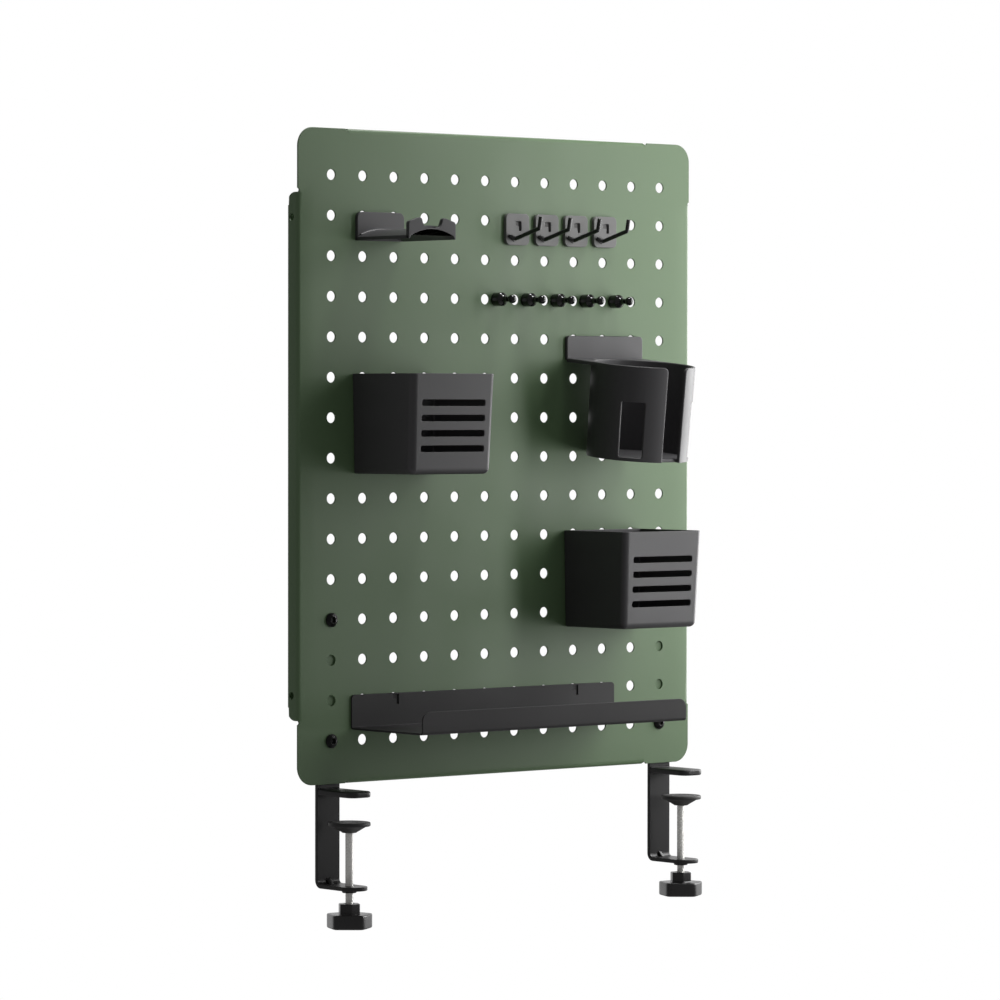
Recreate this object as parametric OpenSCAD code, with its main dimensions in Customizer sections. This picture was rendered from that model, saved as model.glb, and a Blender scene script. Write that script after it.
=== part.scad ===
// Clamp-on steel pegboard for a desk, with bins, a cup holder, a tray, a headset hanger, hooks and magnet pins.
// Lengths are in millimetres. X runs to the right as seen from the front, Y to the back and Z up.
// The origin lies below the middle of the board, on the desk top, where the desk's edge meets the clamp straps.
// Columns count from the left and rows from the top, both from 0.

/* [Pegboard] */
// Distance between neighbouring peg holes
hole_pitch = 30; // [28:0.5:32]
// Diameter of a peg hole
hole_d = 8; // [8:0.1:8.6]
// Number of hole columns
hole_cols = 12; // [12:1:14]
// Number of hole rows
hole_rows = 15; // [15:1:18]
// Outer hole centres to the side edges
side_margin = 31.5; // [28:0.5:38]
// Top hole centres to the top edge
top_margin = 34.5; // [30:0.5:40]
// Bottom hole centres to the bottom edge
bottom_margin = 32; // [28:0.5:38]
// Sheet thickness of the pegboard
sheet_t = 1.5; // [1.2:0.1:1.8]
// Radius of the flat corners
corner_r = 14; // [8:1:18]
// Length of the flat corner tabs, measured along both edges
corner_tab = 48; // [40:1:60]
// Depth of the bent flanges behind the front face
flange_depth = 13.5; // [10:0.5:18]
// Width of the lip that turns inwards at the back of each flange
lip_w = 8; // [5:0.5:12]
// Outer radius of the flange bends
flange_bend_r = 2.5; // [2:0.1:3]
// Radius of the rear corners of a flange
flange_end_r = 9.5; // [6:0.5:10]
// Radius of the relief notch at each flange end
relief_r = 1.4; // [1:0.1:1.8]
// Diameter of the holes that link boards side by side
link_hole_d = 5.5; // [4:0.1:6]
// Link holes' centres behind the front face
link_hole_back = 8; // [6.5:0.1:8.4]
// Link holes' centres from the flange ends
link_hole_end = 18.5; // [15:0.5:30]

/* [Clamps] */
// Width of the clamp straps and jaws
strap_w = 21.5; // [21:0.5:26]
// Thickness of the clamp straps and lower jaws
strap_t = 3; // [2.5:0.1:4]
// Thickness of the upper jaws
upper_jaw_t = 4.5; // [3:0.1:5]
// Outer radius of the bend into the lower jaw
strap_bend_r = 6; // [5:0.5:8]
// Height of the throat between the jaws
throat_h = 66; // [58:1:80]
// Reach of the upper jaw from the strap
upper_jaw_l = 40.5; // [37:0.5:46]
// Reach of the lower jaw from the strap
lower_jaw_l = 39.5; // [37:0.5:46]
// Corner radius of the upper jaw's tip
jaw_corner_r = 7; // [3:0.5:8]
// Corner radius of the stiffening plates
stiffener_r = 4; // [3:0.5:8]
// Shift of the left clamp outwards in its slots
left_clamp_shift = 0; // [0:0.5:4]
// Shift of the right clamp outwards in its slots
right_clamp_shift = 4; // [0:0.5:4]
// Half of the shift that the slots allow
slot_play = 4; // [4:0.5:5]
// Gap between the desk top and the pegboard's bottom edge
board_lift = 8; // [6:0.5:14]
// Thickness of the stiffening plates behind the board
stiffener_t = 1.5; // [1.2:0.1:2]
// Width of the stiffening plates
stiffener_w = 36; // [34:1:44]
// Margin of the straps and plates above and below their bolts
bolt_margin = 14; // [12:0.5:17]
// Leg of the stiffening rib in the lower bend
rib_leg = 6; // [4:0.5:8]
// Width of the stiffening rib
rib_w = 4; // [3:0.5:6]

/* [Clamp screws] */
// Nominal diameter of the clamp screws
screw_d = 6; // [5.8:0.1:6.4]
// Screw axis in front of the strap
screw_reach = 24.5; // [22:0.5:26]
// Diameter of the swivel pads
pad_d = 31.5; // [28:0.5:34]
// Height of a pad's rim
pad_rim_h = 3; // [2.6:0.1:4]
// Height of a pad's cone below its rim
pad_cone_h = 4.8; // [4:0.1:5]
// Diameter of a pad's cone below its rim
pad_cone_d = 25; // [16:0.5:26]
// Diameter of the ball at the tip of a clamp screw
ball_d = 7; // [6.8:0.1:7]
// Screw length between a pad's top and its knob's hub
screw_free_l = 60.3; // [56:0.1:70]
// Gap from the upper jaw to the left pad, as the clamp stands
left_gap = 18.7; // [14:0.1:24]
// Gap from the upper jaw to the right pad, as the clamp stands
right_gap = 16.3; // [14:0.1:24]
// Diameter over the knob's five corners
knob_d = 37; // [30:0.5:40]
// Height of the knob's grip
knob_h = 10.7; // [9:0.1:14]
// Width over the flats of the knob's hub
hub_flats = 15; // [12:0.5:16]
// Height of the knob's hub
hub_h = 7.6; // [6:0.1:9]
// Diameter of the threaded bush in the lower jaw
bush_d = 11; // [10:0.5:14]
// Height of the bush below the lower jaw
bush_h = 2; // [1.5:0.1:3]
// Wall of the bush's sleeve in the jaw
bush_wall = 1; // [0.8:0.1:1.5]

/* [Board bolts] */
// Diameter of the bolts that hold the board
bolt_d = 6; // [5.5:0.1:6.2]
// Diameter of a bolt's head
bolt_head_d = 10.5; // [10:0.1:12]
// Height of a bolt's head
bolt_head_h = 3.3; // [2.8:0.1:4]
// Width over the flats of the hex socket
bolt_socket = 4; // [3:0.1:5]
// Width over the flats of a nut
nut_flats = 10; // [9:0.1:11]
// Height of a nut
nut_h = 5; // [4:0.1:6]

/* [Pegs] */
// Width of a moulded peg
peg_w = 4; // [3.5:0.1:4.4]
// Height of a peg's neck, where it passes through its hole
neck_h = 2.9; // [2.6:0.1:3]
// Drop of a peg's tip behind the board
peg_drop = 2.6; // [2:0.1:2.8]
// Thickness of a peg's tip
peg_tip_t = 2; // [1.5:0.1:2.5]
// Diameter of the round locating pegs
nub_d = 4; // [3.5:0.1:4.2]
// Width of the pressed pockets in front of the folded tabs
pocket_w = 6; // [5.5:0.1:6.5]
// Height of a pocket
pocket_h = 7.5; // [6:0.1:8]

/* [Bins] */
// Width of a bin
bin_w = 80.5; // [76:0.5:84]
// Depth of a bin
bin_depth = 71; // [60:1:80]
// Height of a bin
bin_h = 74.5; // [68:0.5:80]
// Wall of a bin
bin_wall = 2; // [1.6:0.1:2.6]
// Radius of the front corners and of the floor's edges
bin_corner_r = 4; // [3.5:0.1:6]
// Radius of the corners at the board
bin_back_r = 1.5; // [1:0.1:2]
// Draft of each side wall over the height
bin_side_draft = 1.5; // [0.5:0.1:3]
// Draft of the front wall over the height
bin_front_draft = 3.5; // [1:0.1:5]
// Length of a front slot
bin_slot_l = 61; // [50:1:64]
// Height of a front slot
bin_slot_h = 4.7; // [4.2:0.1:5.5]
// Distance between neighbouring slots
bin_slot_pitch = 11.3; // [10:0.1:12]
// Rim to the centre line of the first slot
bin_first_slot = 21.6; // [16:0.1:24]
// Rim of a bin above the centres of its holes
bin_rim_h = 2.8; // [2:0.1:3]

/* [Cup holder] */
// Outer diameter of the cup at its rim
cup_d = 80.5; // [76:0.5:84]
// Outer diameter of the cup at its floor
cup_floor_d = 78.5; // [74:0.5:80]
// Height of the cup along its own axis
cup_h = 73; // [68:1:78]
// Wall of the cup
cup_wall = 2.5; // [2:0.1:3]
// Floor of the cup
cup_floor_t = 3; // [2.5:0.1:4]
// Forward lean of the cup, in degrees
cup_tilt = 5.5; // [5:0.1:6]
// Centre of the rim in front of the board
cup_reach = 47; // [46.5:0.1:50]
// Height of the back plate above the deck
cup_plate_h = 17; // [15:0.5:22]
// Thickness of the back plate and the deck
cup_plate_t = 3; // [2.5:0.1:3.5]
// Width of the front slot
cup_slot_w = 18; // [14:0.5:24]
// Width of the side windows
cup_window_w = 19; // [14:0.5:24]
// Angle of the side windows from the front, in degrees
cup_window_angle = 51; // [42:1:60]
// Rim to the top of the side windows
cup_window_drop = 27.5; // [24:0.5:40]

/* [Tray] */
// Length of the tray
tray_l = 263; // [250:1:270]
// Depth of the tray
tray_depth = 84; // [70:1:95]
// Height of the back plate
tray_back_h = 26; // [24:0.5:34]
// Height of the front lip
tray_lip_h = 17; // [12:0.5:24]
// Sheet thickness of the tray
tray_t = 1.5; // [1.2:0.1:2]
// Outer radius of the tray's bends
tray_bend_r = 2.5; // [2.2:0.1:3]
// Radius of the lip's corners
tray_lip_r = 7; // [4:0.5:9]
// Radius of the back plate's corners
tray_back_r = 3; // [2:0.5:5]
// Back plate's top edge above the centres of its holes
tray_top_h = 3.7; // [3.2:0.1:4.5]

/* [Headset hanger] */
// Width of the hanger
hanger_w = 45; // [42:0.5:48]
// Reach of the hanger in front of the board
hanger_l = 63; // [50:1:70]
// Thickness of the back plate
hanger_plate_t = 3; // [2.5:0.1:4]
// Height of the hanger from its arch's feet to the top of the back plate
hanger_h = 21.3; // [19:0.1:24]
// Thickness of the arched saddle
saddle_t = 2.5; // [2:0.1:3]
// Rise of the arch
saddle_rise = 5.6; // [4:0.1:7]
// Thickness of the front ears
ear_t = 3.6; // [3:0.1:4.5]
// Gap between the front ears
ear_gap = 19; // [14:0.5:24]
// Height of the ears at the gap, from the arch's feet
ear_h = 16.5; // [14:0.5:20]
// Fall of the ears' tops towards the outside
ear_fall = 4; // [2:0.5:5]
// Back plate's top edge above the centres of its holes
hanger_top_h = 3.1; // [2.4:0.1:3.4]

/* [Hooks] */
// Number of hooks
hook_count = 4; // [4:1:4]
// Width of a hook's plate
hook_plate_w = 23.5; // [22:0.5:26]
// Height of a hook's plate
hook_plate_h = 24; // [22:0.5:28]
// Thickness of a hook's plate
hook_plate_t = 3; // [2.5:0.1:3.5]
// Corner radius of a hook's plate
hook_plate_r = 4; // [3:0.5:6]
// Plate's top edge above the hole's centre
hook_top_h = 5.7; // [5:0.1:6.5]
// Diameter of a hook's wire
wire_d = 2.8; // [2.4:0.1:3.2]
// Length of a hook's arm
arm_l = 32; // [25:0.5:40]
// Upward slope of the arm, in degrees
arm_slope = 10; // [5:0.5:15]
// Length of the upturned tip
tip_l = 11.5; // [8:0.5:15]
// Bend radius of the wire, on its centre line
wire_bend_r = 4; // [3:0.1:5]

/* [Magnet pins] */
// Number of magnet pins
pin_count = 5; // [5:1:5]
// Diameter of a pin's body
pin_d = 10.3; // [9:0.1:11]
// Length of a pin's body
pin_body_l = 9.5; // [8:0.1:12]
// Diameter of a pin's ball
pin_ball_d = 6.6; // [5:0.1:7]
// Ball's centre in front of the board
pin_ball_reach = 19; // [17:0.5:22]
// Diameter of a pin's neck
pin_neck_d = 4.2; // [3:0.1:4.6]
// Diameter of a magnet
magnet_d = 8; // [6:0.1:8]
// Thickness of a magnet
magnet_t = 3; // [2:0.1:4]

/* [Hidden] */
$fn = 48;
// Overrun of a cut past a face
cut = 1;
// Gap between an accessory's back and the board
seat_gap = 0.1;
// Clearance of a peg in its hole
peg_clear = 0.25;
// Gap between a peg's tip and the board's back
peg_back_gap = 0.3;
// Radial clearance of a running or loose fit
fit_clear = 0.05;
// Radial clearance of a bolt in the plates behind the board
bolt_clear = 0.25;
// Lift that frees an accessory's pegs
lift_travel = 3;

// Board
hole_r = hole_d / 2;
board_w = (hole_cols - 1) * hole_pitch + 2 * side_margin;
board_h = (hole_rows - 1) * hole_pitch + top_margin + bottom_margin;
board_top = board_lift + board_h;
front_y = -(sheet_t + stiffener_t);
side_flange_l = board_h - 2 * corner_tab;
end_flange_l = board_w - 2 * corner_tab;
function col_x(c) = (c - (hole_cols - 1) / 2) * hole_pitch;
function row_z(r) = board_lift + bottom_margin + (hole_rows - 1 - r) * hole_pitch;

// Clamps, one below each outer column, bolted at the last row and three rows above it
bolt_x = col_x(hole_cols - 1);
function clamp_x(side) = side * (bolt_x + (side < 0 ? left_clamp_shift : right_clamp_shift));
bolt_rows = [hole_rows - 4, hole_rows - 1];
strap_top = row_z(bolt_rows[0]) + bolt_margin;
stiffener_bottom = row_z(bolt_rows[1]) - bolt_margin;
lower_jaw_z = -throat_h;
bush_sleeve_d = screw_d + 2 * bush_wall;
hub_corner_d = hub_flats / cos(180 / 6);

// Places of the accessories on the grid
upper_bin_col = 2;
upper_bin_row = 5;
lower_bin_col = 9;
lower_bin_row = 9;
cup_col = 9;
cup_row = 4;
tray_col = 5;
tray_row = 13;
tray_tab_cols = 3;
hanger_col = 1.5;
hanger_row = 1;
hook_first_col = 6;
hook_row = 1;
pin_first_col = 5.35;
pin_row = 3;

// Behind a hole
tab_t = tray_t;
peg_reach = sheet_t + peg_back_gap + peg_tip_t;

// Plain 2D shapes

// Rectangle about the origin with round corners
module round_rect(w, h, r) {
    square([w - 2 * r, h], center = true);
    square([w, h - 2 * r], center = true);
    for (x = [-1, 1], y = [-1, 1])
        translate([x * (w / 2 - r), y * (h / 2 - r)]) circle(r);
}

// Slot about the origin, along X
module slot_2d(l, h, r) {
    round_rect(l, h, r);
}

// Quarter of a ring in the first quadrant, with its outer radius and its wall
module quarter_ring(r, t) {
    intersection() {
        difference() {
            circle(r);
            circle(r - t);
        }
        square(r);
    }
}

// What a round corner of radius r takes off a square corner at the origin, lying in the third quadrant
module corner_waste(r) {
    difference() {
        translate([-r, -r]) square(r + cut);
        translate([-r, -r]) circle(r);
    }
}

// Stands a 2D shape up in the XZ plane and gives it a depth towards the front, from y = 0
module upright(depth) {
    rotate([90, 0, 0]) linear_extrude(depth) children();
}

// Stands a 2D shape up so that its x axis points to the front, its y axis up, and its length lies along X
module sideways(length) {
    translate([length / 2, 0, 0]) rotate([0, 0, -90]) rotate([90, 0, 0]) linear_extrude(length) children();
}

module mirrored_x() {
    children();
    mirror([1, 0, 0]) children();
}

// Pegboard

// Cross-section of a flange: x runs inwards from its outer face, y to the back from the front face
module flange_profile() {
    // flat part that joins the face
    translate([flange_bend_r, 0]) square([flange_bend_r, sheet_t]);
    // front bend
    translate([flange_bend_r, flange_bend_r]) rotate(180) quarter_ring(flange_bend_r, sheet_t);
    // flange
    translate([0, flange_bend_r]) square([sheet_t, flange_depth - 2 * flange_bend_r]);
    // rear bend
    translate([flange_bend_r, flange_depth - flange_bend_r])
        rotate(90) quarter_ring(flange_bend_r, sheet_t);
    // lip
    translate([flange_bend_r, flange_depth - sheet_t]) square([lip_w - flange_bend_r, sheet_t]);
}

// Flange along Z about the origin, on the left edge, with round rear corners
module flange(length) {
    difference() {
        translate([0, 0, -length / 2]) linear_extrude(length) flange_profile();
        // the lip stops short of the round corners
        for (end = [0, 1]) mirror([0, 0, end]) {
            translate([sheet_t, flange_bend_r, length / 2 - flange_end_r])
                cube([lip_w + cut, flange_depth + cut, flange_end_r + cut]);
            translate([-cut, flange_depth, length / 2]) rotate([0, 90, 0]) rotate(90)
                linear_extrude(sheet_t + 2 * cut) corner_waste(flange_end_r);
        }
    }
}

module side_flange() {
    translate([-board_w / 2, 0, 0]) difference() {
        flange(side_flange_l);
        for (end = [-1, 1])
            translate([-cut, link_hole_back, end * (side_flange_l / 2 - link_hole_end)])
                rotate([0, 90, 0]) cylinder(d = link_hole_d, h = sheet_t + 2 * cut);
    }
}

module board_face_2d() {
    difference() {
        round_rect(board_w, board_h, corner_r);
        // strips that the bent edges replace
        for (side = [-1, 1]) {
            translate([side * board_w / 2, 0])
                square([2 * flange_bend_r, side_flange_l], center = true);
            translate([0, side * board_h / 2])
                square([end_flange_l, 2 * flange_bend_r], center = true);
        }
        // relief notches past the flange ends
        for (x = [-1, 1], y = [-1, 1]) {
            translate([x * board_w / 2, y * (side_flange_l / 2 + relief_r)]) circle(relief_r);
            translate([x * (end_flange_l / 2 + relief_r), y * board_h / 2]) circle(relief_r);
        }
        for (c = [0 : hole_cols - 1], r = [0 : hole_rows - 1])
            translate([col_x(c), row_z(r) - board_lift - board_h / 2]) circle(hole_r);
    }
}

module panel() {
    color([0.42, 0.48, 0.38]) translate([0, front_y, board_lift + board_h / 2]) {
        translate([0, sheet_t, 0]) upright(sheet_t) board_face_2d();
        mirrored_x() side_flange();
        for (turn = [-90, 90]) rotate([0, turn, 0]) translate([-board_h / 2, 0, 0]) flange(end_flange_l);
    }
}

// Clamps

// Green plate between the board and a strap
module stiffener(side) {
    h = strap_top - stiffener_bottom;
    color([0.40, 0.46, 0.36]) translate([side * bolt_x, 0, stiffener_bottom + h / 2])
        upright(stiffener_t) difference() {
            round_rect(stiffener_w, h, stiffener_r);
            for (r = bolt_rows)
                translate([0, row_z(r) - stiffener_bottom - h / 2]) circle(bolt_d / 2 + bolt_clear);
        }
}

// Strap with the lower jaw bent forward from it
module clamp_strap(side) {
    color([0.12, 0.12, 0.13]) translate([clamp_x(side), 0, 0]) difference() {
        union() {
            // upright leg, above the bend
            translate([-strap_w / 2, 0, lower_jaw_z + strap_bend_r - strap_t])
                cube([strap_w, strap_t, strap_top - lower_jaw_z - strap_bend_r + strap_t]);
            // bend
            translate([0, strap_t - strap_bend_r, lower_jaw_z + strap_bend_r - strap_t])
                sideways(strap_w) rotate(180) quarter_ring(strap_bend_r, strap_t);
            // tongue with a round tip
            translate([0, 0, lower_jaw_z - strap_t]) linear_extrude(strap_t) {
                translate([-strap_w / 2, strap_w / 2 - lower_jaw_l])
                    square([strap_w, lower_jaw_l - strap_w / 2 - strap_bend_r + strap_t]);
                translate([0, strap_w / 2 - lower_jaw_l]) circle(strap_w / 2);
            }
            // stiffening rib inside the bend
            translate([0, 0, lower_jaw_z]) sideways(rib_w)
                polygon([[0, 0], [rib_leg, 0], [0, rib_leg]]);
        }
        translate([0, -screw_reach, lower_jaw_z - strap_t - cut])
            cylinder(d = bush_sleeve_d, h = strap_t + 2 * cut);
        for (r = bolt_rows) translate([0, strap_t + cut, row_z(r)]) upright(strap_t + 2 * cut) {
            square([2 * slot_play, bolt_d + 2 * bolt_clear], center = true);
            for (x = [-slot_play, slot_play]) translate([x, 0]) circle(bolt_d / 2 + bolt_clear);
        }
    }
}

module upper_jaw(side) {
    color([0.12, 0.12, 0.13]) translate([clamp_x(side), 0, 0]) linear_extrude(upper_jaw_t) difference() {
        translate([-strap_w / 2, -upper_jaw_l]) square([strap_w, upper_jaw_l]);
        mirrored_x() translate([strap_w / 2, -upper_jaw_l]) mirror([0, 1]) corner_waste(jaw_corner_r);
    }
}

// Threaded bush pressed into the lower jaw from below
module screw_bush(side) {
    color([0.2, 0.2, 0.21]) translate([clamp_x(side), -screw_reach, lower_jaw_z - strap_t]) difference() {
        union() {
            cylinder(d = bush_sleeve_d - 2 * fit_clear, h = strap_t);
            translate([0, 0, -bush_h]) cylinder(d = bush_d, h = bush_h);
        }
        translate([0, 0, -bush_h - cut])
            cylinder(r = screw_d / 2 + fit_clear, h = bush_h + strap_t + 2 * cut);
    }
}

// Centre of a screw's ball below its pad's top
ball_drop = pad_rim_h + pad_cone_h - ball_d / 2;

module clamp_pad(side, gap) {
    color([0.16, 0.16, 0.16]) translate([clamp_x(side), -screw_reach, -gap]) difference() {
        union() {
            translate([0, 0, -pad_rim_h]) cylinder(d = pad_d, h = pad_rim_h);
            translate([0, 0, -pad_rim_h - pad_cone_h])
                cylinder(d1 = pad_d / 3, d2 = pad_cone_d, h = pad_cone_h);
        }
        translate([0, 0, -ball_drop]) sphere(r = ball_d / 2 + fit_clear);
        translate([0, 0, -ball_drop - ball_d])
            cylinder(r = screw_d / 2 + fit_clear, h = ball_d);
    }
}

module clamp_screw(side, gap) {
    color([0.78, 0.78, 0.76]) translate([clamp_x(side), -screw_reach, -gap]) {
        translate([0, 0, -ball_drop]) sphere(d = ball_d);
        translate([0, 0, -screw_free_l - hub_h - knob_h / 2])
            cylinder(d = screw_d, h = screw_free_l + hub_h + knob_h / 2 - ball_drop);
    }
}

// Knob with a hexagonal hub and a five-cornered grip
module clamp_knob(side, gap) {
    color([0.15, 0.15, 0.15])
        translate([clamp_x(side), -screw_reach, -gap - screw_free_l - hub_h - knob_h]) difference() {
            union() {
                translate([0, 0, knob_h]) cylinder(d = hub_corner_d, h = hub_h, $fn = 6);
                linear_extrude(knob_h) intersection() {
                    circle(d = knob_d * 1.04, $fn = 5);
                    circle(d = knob_d);
                }
            }
            translate([0, 0, knob_h / 2]) cylinder(r = screw_d / 2 + fit_clear, h = knob_h / 2 + hub_h + cut);
        }
}

// Button-head bolts with hex sockets, two for each clamp
module board_bolts() {
    shank_l = sheet_t + stiffener_t + strap_t + nut_h + fit_clear * 20;
    color([0.1, 0.1, 0.1]) for (side = [-1, 1], r = bolt_rows)
        translate([side * bolt_x, front_y, row_z(r)]) rotate([90, 0, 0]) difference() {
            union() {
                translate([0, 0, -shank_l]) cylinder(d = bolt_d, h = shank_l);
                // domed head: the cap of a sphere
                intersection() {
                    cylinder(d = bolt_head_d, h = bolt_head_h);
                    translate([0, 0, bolt_head_h - bolt_head_d * 0.7]) sphere(r = bolt_head_d * 0.7);
                }
            }
            translate([0, 0, bolt_head_h / 3]) cylinder(d = bolt_socket / cos(180 / 6), h = bolt_head_h, $fn = 6);
        }
}

module board_nuts() {
    color([0.1, 0.1, 0.1]) for (side = [-1, 1], r = bolt_rows)
        translate([side * bolt_x, strap_t + nut_h, row_z(r)]) upright(nut_h) difference() {
            circle(d = nut_flats / cos(180 / 6), $fn = 6);
            circle(bolt_d / 2 + fit_clear);
        }
}

// Pegs

// Half height of a hole at a distance from its upright centre line
function hole_chord(x) = sqrt(hole_r * hole_r - x * x);

// Hooked peg through the hole at the origin of the board's front face, between x = left and x = right.
// It starts at a depth in front of that face and drops behind the board.
module peg(left, right, root) {
    low = -hole_chord(max(abs(left), abs(right))) + peg_clear;
    translate([left, -root, low]) cube([right - left, root + peg_reach, neck_h]);
    translate([left, sheet_t + peg_back_gap, low - peg_drop])
        cube([right - left, peg_tip_t, neck_h + peg_drop]);
}

// Peg of a moulded accessory
module moulded_peg(root) {
    peg(-peg_w / 2, peg_w / 2, root);
}

// Tab folded back from a sheet, left of the middle of its hole
tab_x = -(hole_r - tab_t) + peg_clear / 2;
module folded_tab(plate_t) {
    peg(tab_x, tab_x + tab_t, seat_gap + plate_t / 4);
}

// Angled pocket pressed in front of a folded tab, below a height about the hole's centre
module pocket_2d(top) {
    bar = pocket_w * 0.6;
    translate([tab_x, top - bar]) square([pocket_w, bar]);
    translate([tab_x + bar, top - pocket_h]) square([pocket_w - bar, pocket_h]);
}

// Cuts a pocket into the front of a plate whose back lies at y = 0
module pocket(plate_t, top) {
    translate([0, -plate_t / 3, 0]) upright(plate_t) pocket_2d(top);
}

// Round peg that keeps the foot of a bin from swinging
module locating_nub() {
    translate([0, sheet_t, -(hole_r - nub_d / 2 - peg_clear)])
        rotate([90, 0, 0]) cylinder(d = nub_d, h = sheet_t + bin_wall);
}

// Moves what is drawn about a hole on the board's front face to a column and a row
module at_hole(c, r) {
    translate([col_x(c), front_y, row_z(r)]) children();
}

// Bins

// Solid block of a bin, or of its hollow when shrunk by the wall; its rim lies at z = 0
module bin_block(wall, over) {
    front = -(bin_depth - wall);
    back = -seat_gap - wall;
    half = bin_w / 2 - wall;
    r = bin_corner_r - wall;
    hull() for (side = [-1, 1]) {
        translate([side * (half - r), front + r, -cut]) cylinder(r = r, h = cut + over, $fn = 32);
        translate([side * (half - bin_back_r), back - bin_back_r, -cut])
            cylinder(r = bin_back_r, h = cut + over, $fn = 32);
        translate([side * (half - bin_side_draft - r), front + bin_front_draft + r, -bin_h + wall + r])
            sphere(r, $fn = 32);
        translate([side * (half - bin_side_draft - bin_back_r), back - bin_back_r, -bin_h + wall + bin_back_r])
            sphere(bin_back_r, $fn = 32);
    }
}

module bin(c, r) {
    color([0.27, 0.27, 0.28]) at_hole(c, r) {
        translate([0, 0, bin_rim_h]) difference() {
            bin_block(0, 0);
            bin_block(bin_wall, bin_wall);
            for (i = [0 : 3]) translate([0, -bin_depth / 2, -bin_first_slot - i * bin_slot_pitch])
                upright(bin_depth) slot_2d(bin_slot_l, bin_slot_h, bin_slot_h / 3);
        }
        for (i = [-1 : 1]) translate([i * hole_pitch, 0, 0]) moulded_peg(seat_gap + bin_wall);
        for (side = [-1, 1]) translate([side * hole_pitch, 0, -2 * hole_pitch]) locating_nub();
    }
}

// Cup holder

// Back plate's top edge above the centres of its holes
cup_top_h = hole_r - peg_clear * 4;
// Width of the cup holder's back plate, a little over the deck's
cup_plate_w = cup_d - cup_wall * 2 / 3;

// Deck behind the cup's middle; its sides lie half a wall inside the cup's widest point
module cup_deck_2d() {
    translate([-(cup_d - cup_wall) / 2, 0]) square([cup_d - cup_wall, cup_reach + cup_plate_h]);
}

// Front slot seen from the front: its rim corners are rounded outwards
module cup_slot_2d() {
    r = cup_wall;
    depth = cup_h - cup_floor_t;
    translate([-cup_slot_w / 2, -depth]) square([cup_slot_w, depth + cut]);
    mirrored_x() translate([cup_slot_w / 2, 0]) rotate(90) difference() {
        translate([-r, -r]) square([r + cut, r]);
        translate([-r, -r]) circle(r);
    }
}

module cup_holder() {
    plate_top = cup_top_h;
    deck_back_z = plate_top - cup_plate_h;
    rim_z = deck_back_z - cup_reach * tan(cup_tilt);
    color([0.25, 0.25, 0.26]) at_hole(cup_col, cup_row) {
        difference() {
            translate([0, -cup_reach, rim_z]) rotate([cup_tilt, 0, 0]) difference() {
                union() {
                    translate([0, 0, -cup_h]) cylinder(d1 = cup_floor_d, d2 = cup_d, h = cup_h);
                    translate([0, 0, -cup_plate_t]) linear_extrude(cup_plate_t) cup_deck_2d();
                }
                translate([0, 0, -cup_h + cup_floor_t])
                    cylinder(d1 = cup_floor_d - 2 * cup_wall, d2 = cup_d - 2 * cup_wall, h = cup_h);
                upright(cup_d) cup_slot_2d();
                // below the slot the wall is open too, and the floor's edge shows
                translate([-cup_slot_w / 2, -cup_d, -cup_h - cut])
                    cube([cup_slot_w, cup_d - cup_floor_d / 2 + 2 * cup_wall, cup_h / 2]);
                for (side = [-1, 1]) rotate([0, 0, side * cup_window_angle])
                    translate([-cup_window_w / 2, -cup_d, -cup_h + cup_floor_t])
                        cube([cup_window_w, cup_d, cup_h - cup_floor_t - cup_window_drop]);
            }
            // the deck and the cup end at the board
            translate([-cup_d, -seat_gap, -2 * cup_h]) cube([2 * cup_d, cup_d, 4 * cup_h]);
        }
        // back plate, which ends in the middle of the deck
        translate([0, -seat_gap, plate_top]) upright(cup_plate_t) difference() {
            translate([-cup_plate_w / 2, -cup_plate_h - cup_plate_t / 2])
                square([cup_plate_w, cup_plate_h + cup_plate_t / 2]);
            mirrored_x() translate([cup_plate_w / 2, 0]) corner_waste(cup_plate_t);
        }
        for (i = [-1 : 1]) translate([i * hole_pitch, 0, 0]) moulded_peg(seat_gap + cup_plate_t);
    }
}

// Tray

module tray_profile() {
    r = tray_bend_r;
    translate([0, r]) square([tray_t, tray_back_h - r]);
    translate([r, r]) rotate(180) quarter_ring(r, tray_t);
    translate([r, 0]) square([tray_depth - 2 * r, tray_t]);
    translate([tray_depth - r, r]) rotate(-90) quarter_ring(r, tray_t);
    translate([tray_depth - tray_t, r]) square([tray_t, tray_lip_h - r]);
}

module tray() {
    foot = tray_top_h - tray_back_h;
    color([0.22, 0.22, 0.22]) at_hole(tray_col, tray_row) translate([0, -seat_gap, 0]) {
        difference() {
            translate([0, 0, foot]) sideways(tray_l) tray_profile();
            // round corners of the back plate and of the lip
            translate([0, cut, 0]) upright(tray_t + 2 * cut)
                mirrored_x() translate([tray_l / 2, tray_top_h]) corner_waste(tray_back_r);
            translate([0, -tray_depth + tray_t + cut, 0]) upright(tray_t + 2 * cut)
                mirrored_x() translate([tray_l / 2, foot + tray_lip_h]) corner_waste(tray_lip_r);
            for (side = [-1, 1]) translate([side * tray_tab_cols * hole_pitch, 0, 0])
                pocket(tray_t, tray_top_h - cut);
        }
        for (side = [-1, 1]) translate([side * tray_tab_cols * hole_pitch, seat_gap, 0]) folded_tab(tray_t);
    }
}

// Headset hanger

// Half chord and radius of the arch's underside, which leaves narrow flat feet on both sides
saddle_half = hanger_w / 2 - saddle_t / 3;
saddle_r = (saddle_half * saddle_half + saddle_rise * saddle_rise) / (2 * saddle_rise);

// What lies under the arch, with its feet at y = 0
module under_arch_2d(t) {
    translate([0, saddle_rise - saddle_r]) circle(saddle_r + t, $fn = 96);
}

module saddle_2d() {
    intersection() {
        difference() {
            under_arch_2d(saddle_t);
            under_arch_2d(0);
        }
        translate([-hanger_w / 2, 0]) square([hanger_w, hanger_h]);
    }
}

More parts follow.
